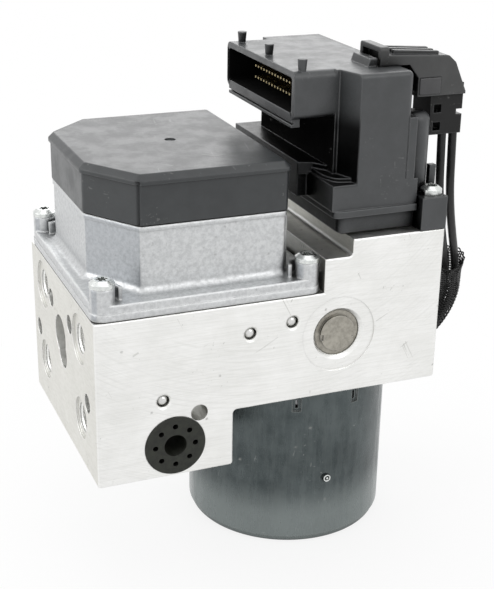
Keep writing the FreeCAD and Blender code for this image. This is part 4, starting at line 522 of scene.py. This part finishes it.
# threads of the four pipe ports, placed by y and z: a ring drawn in and out again, turn after turn
threadSettings = {
    "places": ((0.0276, 0.0934), (-0.0242, 0.0922), (0.0277, 0.0623), (-0.0238, 0.0618)),
    "start": -0.0881, "pitch": 0.001, "turns": 9, "root": 0.0055, "crest": 0.0049, "sides": 44,
}


def addPortThread(name, y, z, settings):
    bpy.ops.mesh.primitive_circle_add(vertices=settings["sides"], radius=settings["root"],
                                      location=(settings["start"], y, z), rotation=(0, math.pi / 2, 0))
    thread = bpy.context.object
    thread.name = name
    bpy.ops.object.transform_apply(location=True, rotation=True, scale=True)
    bpy.ops.object.mode_set(mode="EDIT")
    bpy.ops.mesh.select_all(action="SELECT")
    draw = settings["crest"] / settings["root"]
    step = {"value": (settings["pitch"] / 2, 0, 0)}
    for turn in range(settings["turns"]):
        for scale in (draw, 1 / draw):
            bpy.ops.mesh.extrude_region_move(TRANSFORM_OT_translate=step)
            bpy.ops.transform.resize(value=(1, scale, scale), center_override=(0, y, z))
    bpy.ops.mesh.select_all(action="SELECT")
    bpy.ops.mesh.normals_make_consistent(inside=True)
    bpy.ops.object.mode_set(mode="OBJECT")
    bpy.ops.object.select_all(action="DESELECT")
    return thread


threadAlloy = makeFinish("threadAlloy", dict(milledAlloy, roughLow=0.22, roughHigh=0.34, hollowReach=0.002))
for number, (portY, portZ) in enumerate(threadSettings["places"]):
    thread = addPortThread("portThread" + str(number + 1), portY, portZ, threadSettings)
    thread.data.materials.append(threadAlloy)
    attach(thread, "unit")
print("port threads done")


# the stake mark on the motor can: a ring pressed up round a small dome
stakeSettings = {
    "place": (0.0009, -0.0384, 0.0267), "ring": 0.0012, "wire": 0.00028, "dome": 0.0005, "ringSteps": 40,
    "wireSteps": 12, "domeSteps": 20, "domeRings": 12,
}


def addStakeMark(settings):
    bpy.ops.mesh.primitive_torus_add(location=settings["place"], rotation=(math.pi / 2, 0, 0),
                                     major_segments=settings["ringSteps"],
                                     minor_segments=settings["wireSteps"], major_radius=settings["ring"],
                                     minor_radius=settings["wire"])
    ring = bpy.context.object
    bpy.ops.mesh.primitive_uv_sphere_add(location=settings["place"], radius=settings["dome"],
                                         segments=settings["domeSteps"], ring_count=settings["domeRings"])
    dome = bpy.context.object
    ring.select_set(True)
    bpy.context.view_layer.objects.active = ring
    bpy.ops.object.join()
    ring.name = "canStakeMark"
    bpy.ops.object.transform_apply(location=True, rotation=True, scale=True)
    bpy.ops.object.shade_smooth()
    bpy.ops.object.select_all(action="DESELECT")
    return ring


stakeMark = addStakeMark(stakeSettings)
stakeMark.data.materials.append(makeFinish("stakeSteel", dict(platedSteel, hollowTone=0.2)))
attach(stakeMark, "unit")


# the motor lead: the route of the part's source, in metres
leadRoute = (
    (0.0490, -0.0267, 0.1561), (0.0498, -0.0260, 0.1441), (0.0513, -0.0242, 0.1326),
    (0.0546, -0.0208, 0.1211), (0.0594, -0.0160, 0.1096), (0.0653, -0.0096, 0.0979),
    (0.0707, -0.0026, 0.0862), (0.0727, 0.0014, 0.0772), (0.0711, 0.0048, 0.0680), (0.0660, 0.0073, 0.0597),
    (0.0583, 0.0085, 0.0534),
)
leadEnd = ((0.04904, 0.00865, 0.0501), (0.03398, 0.00599, 0.0501))
leadTurn = (-0.1736, 0.9848, 0.0)      # across the lead where it enters the can
wireSettings = {"side": 0.00225, "diameter": 0.0032, "lengths": (0.1412, 0.1460)}
routeSettings = {"order": 3, "resolution": 12, "roundness": 4}
sleeveSettings = {
    "firstPoint": 5, "end": (0.04003, 0.00706, 0.0501), "radius": 0.0043, "flare": 0.0019,
    "flareLength": 0.006, "strands": 14, "pitch": 0.022, "strandRadius": 0.00033, "ringSides": 5,
    "strandHeight": 0.6, "strandWidth": 1.5, "weave": 0.5,
}

wireRubber = dict(bushRubber, colour=(0.008, 0.008, 0.008), shade=(0.014, 0.014, 0.014), roughLow=0.3,
                  roughHigh=0.42)
wireFinish = makeFinish("wireRubber", wireRubber)
braidYarn = dict(bushRubber, colour=(0.003, 0.003, 0.003), shade=(0.006, 0.006, 0.006), grain=0.0003,
                 dustTone=0.0, roughLow=0.2, roughHigh=0.3, edgeTone=0.0, hollowShadeMatt=True,
                 hollowReach=0.0012)
braidFinish = makeFinish("braidYarn", braidYarn)


def addRoute(name, points, radius):
    curve = bpy.data.curves.new(name, "CURVE")
    curve.dimensions = "3D"
    spline = curve.splines.new("NURBS")
    spline.points.add(len(points) - 1)
    for target, point in zip(spline.points, points):
        target.co = (*point, 1.0)
    spline.order_u = routeSettings["order"]
    spline.use_endpoint_u = True
    spline.resolution_u = routeSettings["resolution"]
    curve.bevel_depth = radius
    curve.bevel_resolution = routeSettings["roundness"]
    curve.use_fill_caps = True
    piece = bpy.data.objects.new(name, curve)
    bpy.context.scene.collection.objects.link(piece)
    return piece


def sidePoints(side):
    points = [(x + side, y, z) for x, y, z in leadRoute]
    for x, y, z in leadEnd:
        points.append((x + leadTurn[0] * side, y + leadTurn[1] * side, z))
    return points


def addWires(settings):
    wires = []
    for name, side in (("leadWireLeft", -1), ("leadWireRight", 1)):
        wire = addRoute(name, sidePoints(side * settings["side"]), settings["diameter"] / 2)
        wire.data.materials.append(wireFinish)
        wires.append(wire)
    return wires


def readLine(points):
    line = addRoute("sleeveLine", points, 0.0)
    bpy.context.view_layer.update()
    mesh = bpy.data.meshes.new_from_object(line.evaluated_get(bpy.context.evaluated_depsgraph_get()))
    places = [v.co.copy() for v in mesh.vertices]
    bpy.data.objects.remove(line)
    bpy.data.meshes.remove(mesh)
    return places


leadWires = addWires(wireSettings)
for wire in leadWires:
    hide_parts("lead_wires")
    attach(wire, "unit")


# expandable braid: yarns wound both ways round the line of the lead
def addBraid(settings):
    points = list(leadRoute[settings["firstPoint"]:]) + [leadEnd[0], settings["end"]]
    line = readLine(points)
    reach = [0.0]
    for before, here in zip(line, line[1:]):
        reach.append(reach[-1] + (here - before).length)
    side = Vector((1, 0, 0))
    frames = []
    for i, here in enumerate(line):
        along = (line[min(i + 1, len(line) - 1)] - line[max(i - 1, 0)]).normalized()
        side = (side - along * side.dot(along)).normalized()
        frames.append((here, side.copy(), along.cross(side)))
    mesh = bmesh.new()
    for turn in (-1, 1):
        for n in range(settings["strands"]):
            addYarn(mesh, frames, reach, turn, 2 * math.pi * n / settings["strands"], settings)
    data = bpy.data.meshes.new("leadSleeve")
    mesh.to_mesh(data)
    mesh.free()
    sleeve = bpy.data.objects.new("leadSleeve", data)
    bpy.context.scene.collection.objects.link(sleeve)
    data.materials.append(braidFinish)
    return sleeve, line, reach[-1]


def addYarn(mesh, frames, reach, turn, start, settings):
    rings = []
    ringSides = settings["ringSides"]
    thick = settings["strandRadius"]
    for (here, across, other), distance in zip(frames, reach):
        angle = start + turn * 2 * math.pi * distance / settings["pitch"]
        weave = math.sin(settings["strands"] * angle / 2) * thick * turn * settings["weave"]
        out = across * math.cos(angle) + other * math.sin(angle)
        flare = settings["flare"] * math.exp(-distance / settings["flareLength"])
        middle = here + out * (settings["radius"] + flare - thick + weave)
        around = out.cross(across.cross(other))
        ring = []
        for k in range(ringSides):
            t = 2 * math.pi * k / ringSides
            ring.append(mesh.verts.new(middle + out * math.cos(t) * thick * settings["strandHeight"]
                                       + around * math.sin(t) * thick * settings["strandWidth"]))
        rings.append(ring)
    for before, here in zip(rings, rings[1:]):
        for k in range(ringSides):
            mesh.faces.new((before[k], before[(k + 1) % ringSides], here[(k + 1) % ringSides], here[k]))
    mesh.faces.new(list(reversed(rings[0])))
    mesh.faces.new(rings[-1])


sleeve, sleeveLine, sleeveLength = addBraid(sleeveSettings)
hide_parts("lead_sleeve")
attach(sleeve, "unit")
print("sleeve length", round(sleeveLength, 4))
print("lead done")


# floor, backdrop and light
studioSettings = {
    "floorSize": 6.0, "floorGap": 0.0001, "floorColour": (0.88, 0.88, 0.88), "nearShare": 0.84,
    "nearReach": 0.05, "farReach": 0.2, "worldColour": (1.0, 1.0, 1.0), "worldStrength": 0.6,
    "floorRoughness": 0.95, "lampCentre": (0, 0, 0.1),
}
lampSettings = (
    # name, azimuth and elevation seen from the part, distance, width, height, power
    ("backSoftbox", 157.0, 34.0, 0.9, 1.1, 0.7, 3.3),
    ("leftSoftbox", -100.0, 25.0, 0.9, 0.8, 0.7, 2.8),
    ("frontFill", 30.0, 35.0, 1.1, 0.7, 0.7, 2.2),
    ("topSoftbox", 0.0, 88.0, 0.9, 0.8, 0.8, 1.5),
)


def whiteForViewer(tree, shader, output, share):
    light = putNode(tree, "ShaderNodeLightPath").outputs
    seen = putMath(tree, "ADD", light["Is Camera Ray"], light["Is Glossy Ray"])
    seen = putMath(tree, "ADD", seen, light["Is Transmission Ray"], clamp=True)
    kind = "ShaderNodeEmission" if output.type == "OUTPUT_MATERIAL" else "ShaderNodeBackground"
    white = putNode(tree, kind, None, {"Color": (1, 1, 1, 1), "Strength": 1.0})
    mix = putNode(tree, "ShaderNodeMixShader", None,
                  {0: putMath(tree, "MULTIPLY", seen, share), 1: shader.outputs[0], 2: white.outputs[0]})
    tree.links.new(mix.outputs[0], output.inputs["Surface"])


def addStudio(settings):
    bpy.ops.mesh.primitive_plane_add(size=settings["floorSize"], location=(0, 0, -settings["floorGap"]))
    floor = bpy.context.object
    floor.name = "studioFloor"
    material, tree, shader = startMaterial("studioFloor")
    shader.inputs["Base Color"].default_value = settings["floorColour"] + (1,)
    shader.inputs["Roughness"].default_value = settings["floorRoughness"]
    output = next(n for n in tree.nodes if n.type == "OUTPUT_MATERIAL")
    reach = putNode(tree, "ShaderNodeVectorMath", {"operation": "LENGTH"},
                    {0: putNode(tree, "ShaderNodeTexCoord").outputs["Object"]}).outputs["Value"]
    share = putRange(tree, reach, settings["nearReach"], settings["farReach"], settings["nearShare"], 1.0)
    whiteForViewer(tree, shader, output, share)
    floor.data.materials.append(material)
    world = bpy.data.worlds.new("studioWorld")
    bpy.context.scene.world = world
    world.use_nodes = True
    tree = world.node_tree
    tree.nodes.clear()
    output = putNode(tree, "ShaderNodeOutputWorld")
    plain = putNode(tree, "ShaderNodeBackground", None,
                    {"Color": settings["worldColour"] + (1,), "Strength": settings["worldStrength"]})
    whiteForViewer(tree, plain, output, 1.0)


def addLamp(name, azimuth, elevation, distance, width, height, power):
    a, e = math.radians(azimuth), math.radians(elevation)
    back = Vector((math.sin(a) * math.cos(e), -math.cos(a) * math.cos(e), math.sin(e)))
    bpy.ops.object.light_add(type="AREA", location=Vector(studioSettings["lampCentre"]) + back * distance)
    lamp = bpy.context.object
    lamp.name = name
    lamp.rotation_mode = "QUATERNION"
    lamp.rotation_quaternion = (-back).to_track_quat("-Z", "Y")
    lamp.data.shape = "RECTANGLE"
    lamp.data.size = width
    lamp.data.size_y = height
    lamp.data.energy = power
    lamp.visible_camera = False


addStudio(studioSettings)
for lamp in lampSettings:
    addLamp(*lamp)
bpy.context.scene.view_settings.view_transform = "Standard"
print("studio done")
